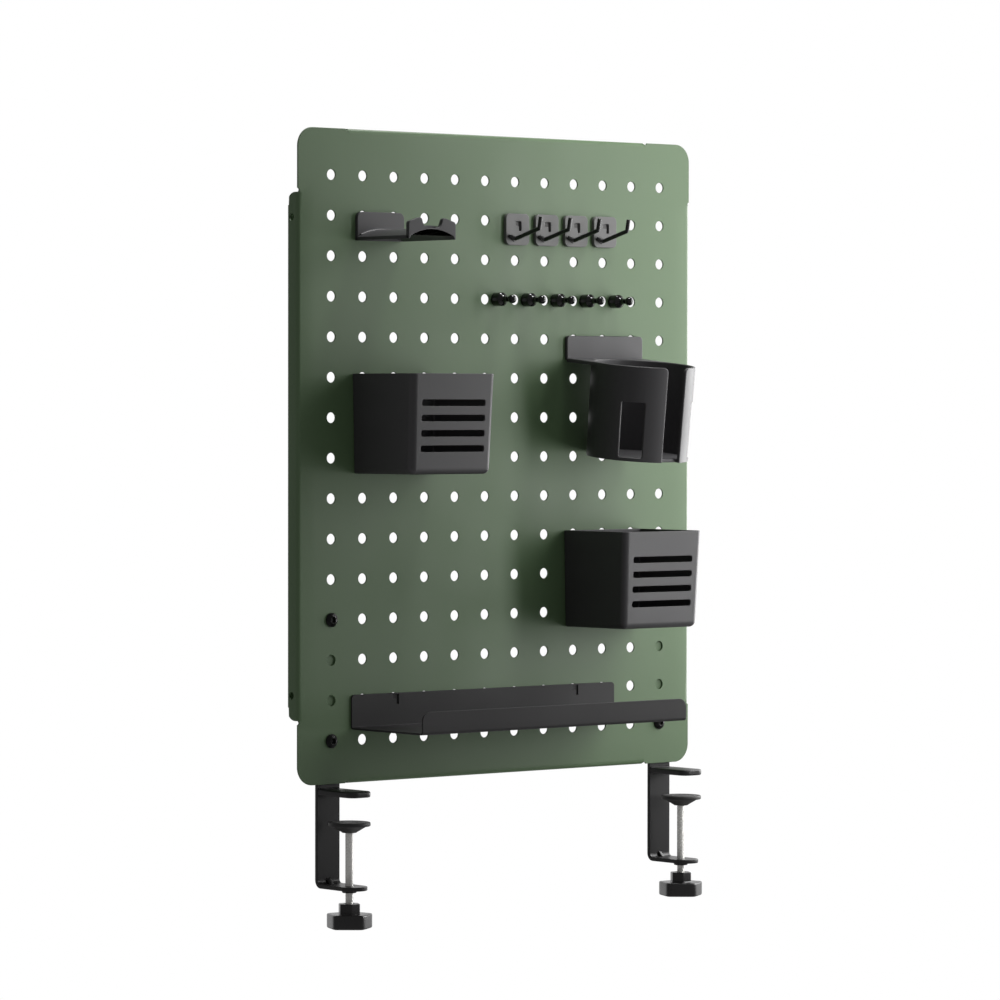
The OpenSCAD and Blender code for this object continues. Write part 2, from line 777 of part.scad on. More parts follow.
module ears_2d() {
    difference() {
        mirrored_x() polygon([
            [0, 0], [hanger_w / 2, 0], [hanger_w / 2, ear_h - ear_fall],
            [ear_gap / 2, ear_h], [ear_gap / 2, saddle_rise + saddle_t], [0, saddle_rise + saddle_t]
        ]);
        under_arch_2d(0);
    }
}

module hanger_plate_2d() {
    difference() {
        translate([-hanger_w / 2, 0]) square([hanger_w, hanger_h]);
        mirrored_x() translate([hanger_w / 2, hanger_h]) corner_waste(ear_t);
    }
}

module headset_hanger() {
    color([0.25, 0.25, 0.26]) at_hole(hanger_col, hanger_row) {
        translate([0, -seat_gap, hanger_top_h - hanger_h]) {
            upright(hanger_plate_t) hanger_plate_2d();
            upright(hanger_l - seat_gap) saddle_2d();
            translate([0, seat_gap - hanger_l + ear_t, 0]) upright(ear_t) ears_2d();
        }
        for (side = [-1, 1]) translate([side * hole_pitch / 2, 0, 0]) moulded_peg(seat_gap + hanger_plate_t);
    }
}

// Hooks

module hook_plate(i) {
    low = hook_top_h - hook_plate_h;
    color([0.35, 0.35, 0.35]) at_hole(hook_first_col + i - 1, hook_row) {
        translate([0, -seat_gap, 0]) difference() {
            translate([0, 0, low + hook_plate_h / 2]) upright(hook_plate_t)
                round_rect(hook_plate_w, hook_plate_h, hook_plate_r);
            pocket(hook_plate_t, cut);
        }
        folded_tab(hook_plate_t);
    }
}

// Straight piece of wire with round ends
module wire_piece(l) {
    cylinder(d = wire_d, h = l);
    sphere(d = wire_d);
}

// Wire that lies on the plate, turns forward into the arm and up into the tip.
// Its elbow at the plate is the origin; the arm leaves it along -Y.
root_l = hook_plate_w * 0.3;
root_angle = 65;
module hook_wire(i) {
    elbow_x = -hook_plate_w / 7;
    elbow_z = hook_top_h - hook_plate_h + wire_d + hook_plate_r / 4;
    lap = wire_d / 8;
    straight = arm_l - wire_bend_r;
    color([0.07, 0.07, 0.07]) at_hole(hook_first_col + i - 1, hook_row)
        translate([elbow_x, -seat_gap - hook_plate_t - wire_d / 2 + lap, elbow_z]) {
            rotate([0, -root_angle, 0]) wire_piece(root_l);
            rotate([-arm_slope, 0, 0]) {
                rotate([90, 0, 0]) wire_piece(straight);
                // bend from the arm into the tip
                translate([0, -straight, wire_bend_r]) rotate([90, 0, 90]) rotate([0, 0, 180])
                    rotate_extrude(angle = 90) translate([wire_bend_r, 0]) circle(d = wire_d);
                translate([0, -arm_l, wire_bend_r]) cylinder(d = wire_d, h = tip_l - wire_bend_r);
            }
        }
}

// Magnet pins

module pin_place(i) {
    translate([col_x(pin_first_col + i - 1), front_y - seat_gap, row_z(pin_row)]) rotate([90, 0, 0]) children();
}

module pin_body(i) {
    shoulder = pin_d / 6;
    neck_start = pin_body_l + shoulder;
    color([0.05, 0.05, 0.05]) pin_place(i) difference() {
        union() {
            cylinder(d = pin_d, h = pin_body_l - shoulder);
            translate([0, 0, pin_body_l - shoulder])
                cylinder(d1 = pin_d, d2 = pin_d - 2 * shoulder, h = shoulder);
            translate([0, 0, pin_body_l])
                cylinder(d1 = pin_d - 2 * shoulder, d2 = pin_neck_d, h = shoulder);
            translate([0, 0, neck_start - cut])
                cylinder(d = pin_neck_d, h = pin_ball_reach - neck_start + cut);
            translate([0, 0, pin_ball_reach]) sphere(d = pin_ball_d);
        }
        translate([0, 0, -cut]) cylinder(r = magnet_d / 2 + fit_clear, h = magnet_t + fit_clear + cut);
    }
}

module pin_magnet(i) {
    color([0.7, 0.7, 0.7]) pin_place(i) cylinder(d = magnet_d, h = magnet_t);
}

panel();
stiffener(-1);  // left_stiffener
stiffener(1);  // right_stiffener
clamp_strap(-1);  // left_clamp_strap
clamp_strap(1);  // right_clamp_strap
upper_jaw(-1);  // left_upper_jaw
upper_jaw(1);  // right_upper_jaw
screw_bush(-1);  // left_screw_bush
screw_bush(1);  // right_screw_bush
clamp_screw(-1, left_gap);  // left_clamp_screw
clamp_screw(1, right_gap);  // right_clamp_screw
clamp_pad(-1, left_gap);  // left_clamp_pad
clamp_pad(1, right_gap);  // right_clamp_pad
clamp_knob(-1, left_gap);  // left_clamp_knob
clamp_knob(1, right_gap);  // right_clamp_knob
board_bolts();
board_nuts();
bin(upper_bin_col, upper_bin_row);  // upper_bin
bin(lower_bin_col, lower_bin_row);  // lower_bin
cup_holder();
tray();
headset_hanger();
hook_plate(1);  // hook_plate_1
hook_plate(2);  // hook_plate_2
hook_plate(3);  // hook_plate_3
hook_plate(4);  // hook_plate_4
hook_wire(1);  // hook_wire_1
hook_wire(2);  // hook_wire_2
hook_wire(3);  // hook_wire_3
hook_wire(4);  // hook_wire_4
pin_body(1);  // pin_body_1
pin_body(2);  // pin_body_2
pin_body(3);  // pin_body_3
pin_body(4);  // pin_body_4
pin_body(5);  // pin_body_5
pin_magnet(1);  // pin_magnet_1
pin_magnet(2);  // pin_magnet_2
pin_magnet(3);  // pin_magnet_3
pin_magnet(4);  // pin_magnet_4
pin_magnet(5);  // pin_magnet_5
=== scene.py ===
import math

import bmesh
import bpy
from mathutils import Matrix, Vector


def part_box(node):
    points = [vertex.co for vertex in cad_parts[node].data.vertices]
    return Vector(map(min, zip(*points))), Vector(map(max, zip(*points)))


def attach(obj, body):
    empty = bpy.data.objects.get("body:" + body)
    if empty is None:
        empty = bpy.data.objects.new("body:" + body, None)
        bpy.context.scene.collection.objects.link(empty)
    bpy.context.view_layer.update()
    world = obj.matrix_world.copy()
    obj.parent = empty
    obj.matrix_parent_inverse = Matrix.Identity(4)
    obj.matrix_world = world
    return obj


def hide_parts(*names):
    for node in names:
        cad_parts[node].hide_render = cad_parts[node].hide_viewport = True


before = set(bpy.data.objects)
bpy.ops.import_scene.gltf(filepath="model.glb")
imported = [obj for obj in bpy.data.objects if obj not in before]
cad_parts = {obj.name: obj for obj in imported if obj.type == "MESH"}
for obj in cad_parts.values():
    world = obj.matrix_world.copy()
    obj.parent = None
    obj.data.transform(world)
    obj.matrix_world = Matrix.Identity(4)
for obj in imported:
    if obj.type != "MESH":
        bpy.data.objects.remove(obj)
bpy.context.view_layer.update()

# Camera
# The eye is level with the middle of the board and looks at its front from the left,
# far enough off that the board hardly narrows towards its far edge.

CAMERA_PLACE = (-2.3916, -2.7828, 0.2914)
CAMERA_AZIMUTH = math.radians(40.707)
CAMERA_PITCH = math.radians(1.163)
CAMERA_ROLL = math.radians(0.065)
CAMERA_LENS = 172.88
CAMERA_SENSOR = 36
CAMERA_CLIP = (0.1, 20)

forward = Vector((
    math.sin(CAMERA_AZIMUTH) * math.cos(CAMERA_PITCH),
    math.cos(CAMERA_AZIMUTH) * math.cos(CAMERA_PITCH),
    -math.sin(CAMERA_PITCH),
))
level = Vector((math.cos(CAMERA_AZIMUTH), -math.sin(CAMERA_AZIMUTH), 0))
turned_level = Matrix.Rotation(-CAMERA_ROLL, 3, forward) @ level
camera_data = bpy.data.cameras.new("camera")
camera_data.sensor_width = CAMERA_SENSOR
camera_data.lens = CAMERA_LENS
camera_data.clip_start, camera_data.clip_end = CAMERA_CLIP
camera = bpy.data.objects.new("camera", camera_data)
axes = Matrix((turned_level, turned_level.cross(forward), -forward)).transposed()
camera.matrix_world = Matrix.Translation(CAMERA_PLACE) @ axes.to_4x4()
bpy.context.scene.collection.objects.link(camera)
bpy.context.scene.camera = camera

# Perforated board
# The board is one sheet of 1.5 mm steel: a punched field of holes, four flat corner tabs
# and four flanges that bend back and then inwards as a lip. It is powder coated in green.

MILLIMETRE = 0.001
HOLE_PITCH = 30
HOLE_RADIUS = 4
HOLE_COLUMNS = 12
HOLE_ROWS = 15
HOLE_SIDES = 24
BOTTOM_STRIP = 17
SHEET = 1.5
SHEET_EDGE = 0.3
CORNER_RADIUS = 14
CORNER_TAB = 48
BEND_RADIUS = 2.5
BEND_STEPS = 6
NOTCH_RADIUS = 1.4
LIP_WIDTH = 8
FLANGE_END_RADIUS = 9.5
LINK_HOLE_RADIUS = 2.75
LINK_HOLE_BACK = 8
LINK_HOLE_END = 18.5
BOARD_GREEN = "#536a4a"
BOARD_GREEN_WORN = "#748a69"
ROUND_STEPS = 12
END_STEPS = 8
RIM_SLACK = 0.01
JOIN_DISTANCE = 0.004
MERGE_DISTANCE = 0.00001
WEAR_SAMPLES = 6
WEAR_TURNS = (0.02, 0.25)
SPECK_WEAR = (1.2, 0.2)
GLOSS_PATCHES = (0.6, 1.4)


def add(tree, kind, settings=None, **sockets):
    """Adds a node. Its settings are properties; sockets are values or links, by name or as _0, _1."""
    made = tree.nodes.new(kind)
    for key, value in (settings or {}).items():
        setattr(made, key, value)
    for key, value in sockets.items():
        socket = made.inputs[int(key[1:])] if key[0] == "_" else made.inputs[key.replace("_", " ")]
        if isinstance(value, bpy.types.NodeSocket):
            tree.links.new(value, socket)
        else:
            socket.default_value = value
    return made


def maths(tree, operation, *values):
    """Result of a math node on numbers or sockets."""
    made = add(tree, "ShaderNodeMath", {"operation": operation})
    for socket, value in zip(made.inputs, values):
        if isinstance(value, bpy.types.NodeSocket):
            tree.links.new(value, socket)
        else:
            socket.default_value = value
    return made.outputs[0]


def node_group(name, kind, inputs, outputs):
    """Starts a node group; inputs and outputs map a socket's name to its type and, for inputs, its value."""
    tree = bpy.data.node_groups.new(name, kind)
    for label, (sort, value) in inputs.items():
        socket = tree.interface.new_socket(label, in_out="INPUT", socket_type="NodeSocket" + sort)
        if value is not None:
            socket.default_value = value
    for label, sort in outputs.items():
        tree.interface.new_socket(label, in_out="OUTPUT", socket_type="NodeSocket" + sort)
    return tree, tree.nodes.new("NodeGroupInput").outputs, tree.nodes.new("NodeGroupOutput").inputs


def linear(colour):
    """Scene colour of a hex colour as it looks on a screen."""
    parts = [int(colour[i:i + 2], 16) / 255 for i in (1, 3, 5)]
    return tuple(c / 12.92 if c < 0.04045 else ((c + 0.055) / 1.055) ** 2.4 for c in parts) + (1,)


# Grain: the skin of a coating or a moulding, as fine noise on top of a wider ripple.
fine_grain, given, result = node_group(
    "fine_grain", "ShaderNodeTree",
    {"Grain size": ("Float", 0.0005), "Ripple size": ("Float", 0.003), "Ripple share": ("Float", 0.5)},
    {"Height": "Float", "Speck": "Float"})
spot = add(fine_grain, "ShaderNodeTexCoord").outputs["Object"]
speck = add(fine_grain, "ShaderNodeTexNoise", Vector=spot, Detail=2.0,
            Scale=maths(fine_grain, "DIVIDE", 1, given["Grain size"])).outputs[0]
ripple = add(fine_grain, "ShaderNodeTexNoise", Vector=spot, Detail=1.0,
             Scale=maths(fine_grain, "DIVIDE", 1, given["Ripple size"])).outputs[0]
height = add(fine_grain, "ShaderNodeMix", _0=given["Ripple share"], _2=speck, _3=ripple).outputs[0]
fine_grain.links.new(height, result["Height"])
fine_grain.links.new(speck, result["Speck"])

# Wear: where an edge is rubbed, found by comparing the surface with a rounder one.
edge_wear, given, result = node_group(
    "edge_wear", "ShaderNodeTree",
    {"Radius": ("Float", 0.0008), "Strength": ("Float", 1.0)},
    {"Edge": "Float"})
rounder = add(edge_wear, "ShaderNodeBevel", {"samples": WEAR_SAMPLES}, Radius=given["Radius"]).outputs[0]
true_normal = add(edge_wear, "ShaderNodeNewGeometry").outputs["Normal"]
agreement = add(edge_wear, "ShaderNodeVectorMath", {"operation": "DOT_PRODUCT"},
                _0=rounder, _1=true_normal).outputs["Value"]
turn = maths(edge_wear, "SUBTRACT", 1, agreement)
worn = add(edge_wear, "ShaderNodeMapRange", {"clamp": True}, Value=turn,
           From_Min=WEAR_TURNS[0], From_Max=WEAR_TURNS[1], To_Min=0.0, To_Max=given["Strength"]).outputs[0]
edge_wear.links.new(worn, result["Edge"])

# Drift: slow changes of tone and gloss over a hand's breadth.
tone_drift, given, result = node_group(
    "tone_drift", "ShaderNodeTree",
    {"Colour": ("Color", (1, 1, 1, 1)), "Patch size": ("Float", 0.06), "Amount": ("Float", 0.1)},
    {"Colour": "Color", "Patch": "Float"})
spot = add(tone_drift, "ShaderNodeTexCoord").outputs["Object"]
patch = add(tone_drift, "ShaderNodeTexNoise", Vector=spot, Detail=2.0,
            Scale=maths(tone_drift, "DIVIDE", 1, given["Patch size"])).outputs[0]
lift = maths(tone_drift, "MULTIPLY_ADD", maths(tone_drift, "SUBTRACT", patch, 0.5), given["Amount"], 1)
drifted = add(tone_drift, "ShaderNodeHueSaturation", Value=lift, Color=given["Colour"]).outputs[0]
tone_drift.links.new(drifted, result["Colour"])
tone_drift.links.new(patch, result["Patch"])


def finish_of(name, colour, edge_colour, roughness, grain_size, depth, ripple_size=0.003, ripple_share=0.5,
              drift=0.1, wear=0.6, edge_radius=0.0008, gloss_spread=0.08, constants=None):
    """Material of a coated, moulded or plated skin. Depth is the height of its grain in metres."""
    made = bpy.data.materials.new(name)
    made.use_nodes = True
    tree = made.node_tree
    shader = tree.nodes["Principled BSDF"]
    grain = add(tree, "ShaderNodeGroup", {"node_tree": fine_grain}, Grain_size=grain_size,
                Ripple_size=ripple_size, Ripple_share=ripple_share)
    edges = add(tree, "ShaderNodeGroup", {"node_tree": edge_wear}, Radius=edge_radius, Strength=wear)
    tones = add(tree, "ShaderNodeGroup", {"node_tree": tone_drift}, Colour=linear(colour), Amount=drift)
    rubbed = maths(tree, "MULTIPLY", edges.outputs["Edge"],
                   maths(tree, "MULTIPLY_ADD", grain.outputs["Speck"], *SPECK_WEAR))
    skin = add(tree, "ShaderNodeMix", {"data_type": "RGBA"}, _0=rubbed, _6=tones.outputs["Colour"],
               _7=linear(edge_colour)).outputs[2]
    tree.links.new(skin, shader.inputs["Base Color"])
    both = maths(tree, "ADD", grain.outputs["Speck"], tones.outputs["Patch"])
    gloss = add(tree, "ShaderNodeMapRange", {"clamp": True}, Value=both,
                From_Min=GLOSS_PATCHES[0], From_Max=GLOSS_PATCHES[1],
                To_Min=roughness - gloss_spread, To_Max=roughness + gloss_spread).outputs[0]
    tree.links.new(gloss, shader.inputs["Roughness"])
    bump = add(tree, "ShaderNodeBump", Height=grain.outputs["Height"], Distance=depth, Strength=1.0)
    tree.links.new(bump.outputs[0], shader.inputs["Normal"])
    for label, value in (constants or {}).items():
        shader.inputs[label].default_value = value
    return made


def grown(name, tree, **values):
    """Plain mesh that a geometry tree makes with these input values."""
    maker = bpy.data.objects.new(name, bpy.data.meshes.new(name))
    bpy.context.scene.collection.objects.link(maker)
    modifier = maker.modifiers.new("grow", "NODES")
    modifier.node_group = tree
    for item in tree.interface.items_tree:
        label = item.name.replace(" ", "_")
        if item.in_out == "INPUT" and label in values:
            modifier[item.identifier] = values[label]
    bpy.context.view_layer.update()
    depsgraph = bpy.context.evaluated_depsgraph_get()
    made = bpy.data.meshes.new_from_object(maker.evaluated_get(depsgraph), depsgraph=depsgraph)
    bpy.data.objects.remove(maker)
    return made


class Skin:
    """A surface given face by face, in millimetres. Points that meet become one vertex."""

    def __init__(self):
        self.points = []
        self.faces = []

    def face(self, points):
        start = len(self.points)
        self.points += [tuple(p) for p in points]
        self.faces.append(list(range(start, len(self.points))))

    def strip(self, rows, closed=False):
        """Quads between neighbouring rows of points; closed rows join their ends."""
        for near, far in zip(rows, rows[1:]):
            steps = len(near) if closed else len(near) - 1
            for i in range(steps):
                j = (i + 1) % len(near)
                self.face([near[i], near[j], far[j], far[i]])

    def take(self, mesh):
        """Adds the faces of a mesh that is in metres."""
        for polygon in mesh.polygons:
            self.face([mesh.vertices[v].co / MILLIMETRE for v in polygon.vertices])

    def mesh(self, name, facing=None):
        """Mesh in metres. An open surface is turned so that most of it faces along facing."""
        made = bpy.data.meshes.new(name)
        made.from_pydata(self.points, [], self.faces)
        work = bmesh.new()
        work.from_mesh(made)
        bmesh.ops.remove_doubles(work, verts=work.verts, dist=JOIN_DISTANCE)
        bmesh.ops.recalc_face_normals(work, faces=work.faces)
        if facing:
            side = sum(f.normal.dot(Vector(facing)) * f.calc_area() for f in work.faces)
            if side < 0:
                bmesh.ops.reverse_faces(work, faces=work.faces)
        bmesh.ops.scale(work, vec=(MILLIMETRE,) * 3, verts=work.verts)
        work.to_mesh(made)
        work.free()
        return made


def applied(name, mesh, modifiers):
    """Mesh as modifiers leave it; each is given as its kind and its settings."""
    made = bpy.data.objects.new(name, mesh)
    bpy.context.scene.collection.objects.link(made)
    for kind, settings in modifiers:
        modifier = made.modifiers.new(kind, kind)
        for key, value in settings.items():
            setattr(modifier, key, value)
    bpy.context.view_layer.update()
    depsgraph = bpy.context.evaluated_depsgraph_get()
    finished = bpy.data.meshes.new_from_object(made.evaluated_get(depsgraph), depsgraph=depsgraph)
    bpy.data.objects.remove(made)
    return finished


def easing(width, steps=2, sharp=40, harden=True):
    """Modifier that rounds the edges that turn by more than an angle; its width is in millimetres."""
    return ("BEVEL", {"width": width * MILLIMETRE, "segments": steps, "limit_method": "ANGLE",
                      "angle_limit": math.radians(sharp), "use_clamp_overlap": False,
                      "harden_normals": harden})


def piece(name, mesh, material, wall=0, edge=0, edge_steps=2, sharp=40, even=False):
    """Object with this mesh, its wall thickness and its eased edges applied, in millimetres."""
    mesh.shade_smooth()
    modifiers = []
    if wall:
        settings = {"thickness": wall * MILLIMETRE, "offset": -1, "use_even_offset": True}
        modifiers.append(("SOLIDIFY", settings))
    if edge:
        modifiers.append(easing(edge, edge_steps, sharp))
    else:
        mesh.set_sharp_from_angle(angle=math.radians(sharp))
    if even:
        modifiers.append(("WEIGHTED_NORMAL", {"keep_sharp": True}))
    if modifiers:
        mesh = applied(name, mesh, modifiers)
    mesh.materials.clear()
    mesh.materials.append(material)
    made = bpy.data.objects.new(name, mesh)
    bpy.context.scene.collection.objects.link(made)
    return made


def arc(middle, radius, start, end, steps):
    """Points on an arc about a middle in a plane, with its angles in degrees."""
    turns = [math.radians(start + (end - start) * i / steps) for i in range(steps + 1)]
    return [(middle[0] + radius * math.cos(a), middle[1] + radius * math.sin(a)) for a in turns]


def box_of(node):
    """Low and high corner of a CAD node's box, in millimetres."""
    return [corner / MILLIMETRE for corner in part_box(node)]


# One hole in its square of sheet is a strip that runs round the hole; its inner side is the
# circle and its outer side the square. The squares are then laid out in columns and rows.
perforated_field, given, result = node_group(
    "perforated_field", "GeometryNodeTree",
    {"Pitch": ("Float", 0.03), "Hole radius": ("Float", 0.004), "Sides": ("Int", 24),
     "Columns": ("Int", 12), "Rows": ("Int", 15), "Material": ("Material", None)},
    {"Geometry": "Geometry"})
tree = perforated_field
band = add(tree, "GeometryNodeMeshGrid", Size_X=1.0, Size_Y=1.0, Vertices_Y=2,
           Vertices_X=maths(tree, "ADD", given["Sides"], 1)).outputs["Mesh"]
flat = add(tree, "ShaderNodeSeparateXYZ", _0=add(tree, "GeometryNodeInputPosition").outputs[0]).outputs
turn = maths(tree, "MULTIPLY_ADD", flat[0], 2 * math.pi, math.pi / 4)
across = maths(tree, "COSINE", turn)
upwards = maths(tree, "SINE", turn)
larger = maths(tree, "MAXIMUM", maths(tree, "ABSOLUTE", across), maths(tree, "ABSOLUTE", upwards))
reach = maths(tree, "DIVIDE", maths(tree, "MULTIPLY", given["Pitch"], 0.5), larger)
share = maths(tree, "ADD", flat[1], 0.5)
radius = maths(tree, "MULTIPLY_ADD", share, maths(tree, "SUBTRACT", reach, given["Hole radius"]),
               given["Hole radius"])
round_place = add(tree, "ShaderNodeCombineXYZ", X=maths(tree, "MULTIPLY", radius, across),
                  Z=maths(tree, "MULTIPLY", radius, upwards)).outputs[0]
square = add(tree, "GeometryNodeSetPosition", Geometry=band, Position=round_place).outputs[0]
layout = add(tree, "GeometryNodeMeshGrid", Vertices_X=given["Columns"], Vertices_Y=given["Rows"],
             Size_X=maths(tree, "MULTIPLY", given["Pitch"], maths(tree, "SUBTRACT", given["Columns"], 1)),
             Size_Y=maths(tree, "MULTIPLY", given["Pitch"], maths(tree, "SUBTRACT", given["Rows"], 1)))
stood = add(tree, "GeometryNodeTransform", Geometry=layout.outputs["Mesh"],
            Rotation=(math.pi / 2, 0, 0)).outputs[0]
copies = add(tree, "GeometryNodeInstanceOnPoints", Points=stood, Instance=square).outputs[0]
real = add(tree, "GeometryNodeRealizeInstances", Geometry=copies).outputs[0]
welded = add(tree, "GeometryNodeMergeByDistance", Geometry=real, Distance=MERGE_DISTANCE).outputs[0]
coated = add(tree, "GeometryNodeSetMaterial", Geometry=welded, Material=given["Material"]).outputs[0]
tree.links.new(coated, result["Geometry"])

green_coat = finish_of("green_coat", BOARD_GREEN, BOARD_GREEN_WORN, roughness=0.5, grain_size=0.0004,
                       depth=0.00003, drift=0.05, wear=0.35)
panel_low, panel_high = box_of("panel")
front = panel_low.y
edge_x = panel_high.x
field_x = HOLE_COLUMNS * HOLE_PITCH / 2
field_z = (panel_low.z + BOTTOM_STRIP, panel_low.z + BOTTOM_STRIP + HOLE_ROWS * HOLE_PITCH)
field = grown("field", perforated_field, Pitch=HOLE_PITCH * MILLIMETRE, Hole_radius=HOLE_RADIUS * MILLIMETRE,
              Sides=HOLE_SIDES, Columns=HOLE_COLUMNS, Rows=HOLE_ROWS, Material=green_coat)
field.transform(Matrix.Translation(Vector((0, front, sum(field_z) / 2)) * MILLIMETRE))
board_skin = Skin()
board_skin.take(field)


def rim_of_field(side, low, high):
    """Points of the punched field's edge between two values, on a side given as its axis and place."""
    axis, at = side
    along = 2 if axis == 0 else 0
    found = {round(v.co[along] / MILLIMETRE, 3) for v in field.vertices
             if abs(v.co[axis] / MILLIMETRE - at) < RIM_SLACK}
    return sorted(s for s in found if low - RIM_SLACK < s < high + RIM_SLACK)


def flange(place, ends, splits):
    """Bent edge of the board. Place maps a length along it, outwards and backwards to a point."""
    deep = panel_high.y - front
    flat_back = deep - BEND_RADIUS
    lengths = [ends[0], *splits, ends[1]]
    bend = arc((-BEND_RADIUS, BEND_RADIUS), BEND_RADIUS, -90, 0, BEND_STEPS)
    board_skin.strip([[place(s, u, b) for s in lengths] for u, b in bend])
    inner = [ends[0] + FLANGE_END_RADIUS, *splits, ends[1] - FLANGE_END_RADIUS]
    back = arc((-BEND_RADIUS, flat_back), BEND_RADIUS, 0, 90, BEND_STEPS) + [(-LIP_WIDTH, deep)]
    board_skin.strip([[place(s, u, b) for s in inner] for u, b in back])
    sweep = math.degrees(math.asin((FLANGE_END_RADIUS - BEND_RADIUS) / FLANGE_END_RADIUS))
    corner = arc((inner[0], deep - FLANGE_END_RADIUS), FLANGE_END_RADIUS, 180, 180 - sweep, END_STEPS)
    start = [(ends[0], BEND_RADIUS), *corner, (inner[0], flat_back)]
    end = [(ends[0] + ends[1] - s, b) for s, b in start]
    if not splits:
        board_skin.face([place(s, 0, b) for s, b in start + end[::-1]])
        return
    low, high = splits
    holes = [((low, LINK_HOLE_BACK), 90, 270), ((low, LINK_HOLE_BACK), -90, 90),
             ((high, LINK_HOLE_BACK), 90, 270), ((high, LINK_HOLE_BACK), 90, -90)]
    halves = [arc(spot, LINK_HOLE_RADIUS, first, last, ROUND_STEPS) for spot, first, last in holes]
    for outline in (
            [*start, (low, flat_back), *halves[0], (low, BEND_RADIUS)],
            [(low, BEND_RADIUS), *halves[1], (low, flat_back),
             (high, flat_back), *halves[2], (high, BEND_RADIUS)],
            [*end, (high, flat_back), *halves[3], (high, BEND_RADIUS)]):
        board_skin.face([place(s, 0, b) for s, b in outline])


side_ends = (panel_low.z + CORNER_TAB, panel_high.z - CORNER_TAB)
link_spots = (side_ends[0] + LINK_HOLE_END, side_ends[1] - LINK_HOLE_END)
bend_x = edge_x - BEND_RADIUS
end_reach = edge_x - CORNER_TAB
for side in (-1, 1):
    flange(lambda s, u, b: (side * (edge_x + u), front + b, s), side_ends, link_spots)
    rim = rim_of_field((0, side * field_x), field_z[0] + HOLE_PITCH, field_z[1] - HOLE_PITCH)
    outer = [side_ends[0], *link_spots, side_ends[1]]
    board_skin.face([(side * field_x, front, s) for s in rim]
                    + [(side * bend_x, front, s) for s in outer[::-1]])
for edge_z, inner_z, way in ((panel_low.z, field_z[0], -1), (panel_high.z, field_z[1], 1)):
    flange(lambda s, u, b: (s, front + b, edge_z + way * u), (-end_reach, end_reach), ())
    rim = rim_of_field((2, inner_z), HOLE_PITCH - field_x, field_x - HOLE_PITCH)
    bend_z = edge_z - way * BEND_RADIUS
    board_skin.face([(s, front, inner_z) for s in rim]
                    + [(end_reach, front, bend_z), (-end_reach, front, bend_z)])
    for side in (-1, 1):
        upright = rim_of_field((0, side * field_x), *sorted((inner_z, inner_z - way * HOLE_PITCH)))
        lying = rim_of_field((2, inner_z), *sorted((side * field_x, side * (field_x - HOLE_PITCH))))
        upright.sort(key=lambda s: -way * s, reverse=True)
        lying.sort(key=lambda s: side * s, reverse=True)
        notch = arc((end_reach + NOTCH_RADIUS, 0), NOTCH_RADIUS, 180, 360, END_STEPS)
        round_corner = arc((edge_x - CORNER_RADIUS, -CORNER_RADIUS), CORNER_RADIUS, 90, 0, ROUND_STEPS)
        side_notch = arc((0, -CORNER_TAB + NOTCH_RADIUS), NOTCH_RADIUS, 90, 270, END_STEPS)
        outline = [(end_reach, -BEND_RADIUS)] + notch[1:] + round_corner
        outline += [(edge_x + x, z) for x, z in side_notch[:-1]] + [(bend_x, -CORNER_TAB)]
        board_skin.face([(side * field_x, front, s) for s in upright]
                        + [(s, front, inner_z) for s in lying[1:]]
                        + [(side * x, front, edge_z + way * z) for x, z in outline])
board = piece("board", board_skin.mesh("board", facing=(0, -1, 0)), green_coat,
              wall=SHEET, edge=SHEET_EDGE, edge_steps=1)
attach(board, "frame")
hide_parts("panel")

# Stiffening plates
# Two green plates of the same sheet lie behind the outer columns and spread the straps' load.
# The board bolts clamp them between the board and the straps.

PLATE_EDGE = 0.3
FLAT_ANGLE = math.radians(0.3)


def solid_of(node):
    """Copy of a CAD node's mesh in which flat faces are whole again."""
    skin = Skin()
    skin.take(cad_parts[node].data)
    made = skin.mesh(node + "_copy")
    work = bmesh.new()
    work.from_mesh(made)
    bmesh.ops.dissolve_limit(work, angle_limit=FLAT_ANGLE, verts=work.verts, edges=work.edges)
    work.to_mesh(made)
    work.free()
    return made


for side in ("left", "right"):
    plate = piece(f"{side}_plate", solid_of(f"{side}_stiffener"), green_coat, edge=PLATE_EDGE)
    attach(plate, "frame")
    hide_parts(f"{side}_stiffener")

# Clamp straps and jaws
# Each clamp is a 3 mm steel strap, bent forward into a round-tipped lower jaw, with a rib in the bend.
# The upper jaw is a thicker plate welded across the strap. Both are powder coated in satin black.

STRAP = 3
STRAP_EDGE = 0.6
STRAP_BEND = 6
BOLT_SLOT_RADIUS = 3.25
BOLT_SLOT_PLAY = 4
RIB_WIDTH = 4
RIB_LEG = 4.5
JAW_EDGE = 1.3
JAW_ROUND = 7
SCREW_RADIUS = 3
HEAD_RADIUS = 5.25
JAW_HOLE_RADIUS = 4
JAW_HOLE_SIDES = 36
JAW_TIP_STEPS = 32
RIB_SINK = 1
CUT_OVER = 1
WELD_RADIUS = 1.1
WELD_STEP = 1.3
WELD_FLATNESS = 0.6
WELD_INSET = 1.5
BEAD_SEGMENTS = 12
BEAD_RINGS = 8
CLAMP_BLACK = "#181718"
CLAMP_BLACK_WORN = "#4a4848"

black_coat = finish_of("black_coat", CLAMP_BLACK, CLAMP_BLACK_WORN, roughness=0.4, grain_size=0.0005,
                       depth=0.00004, drift=0.12, wear=0.5)

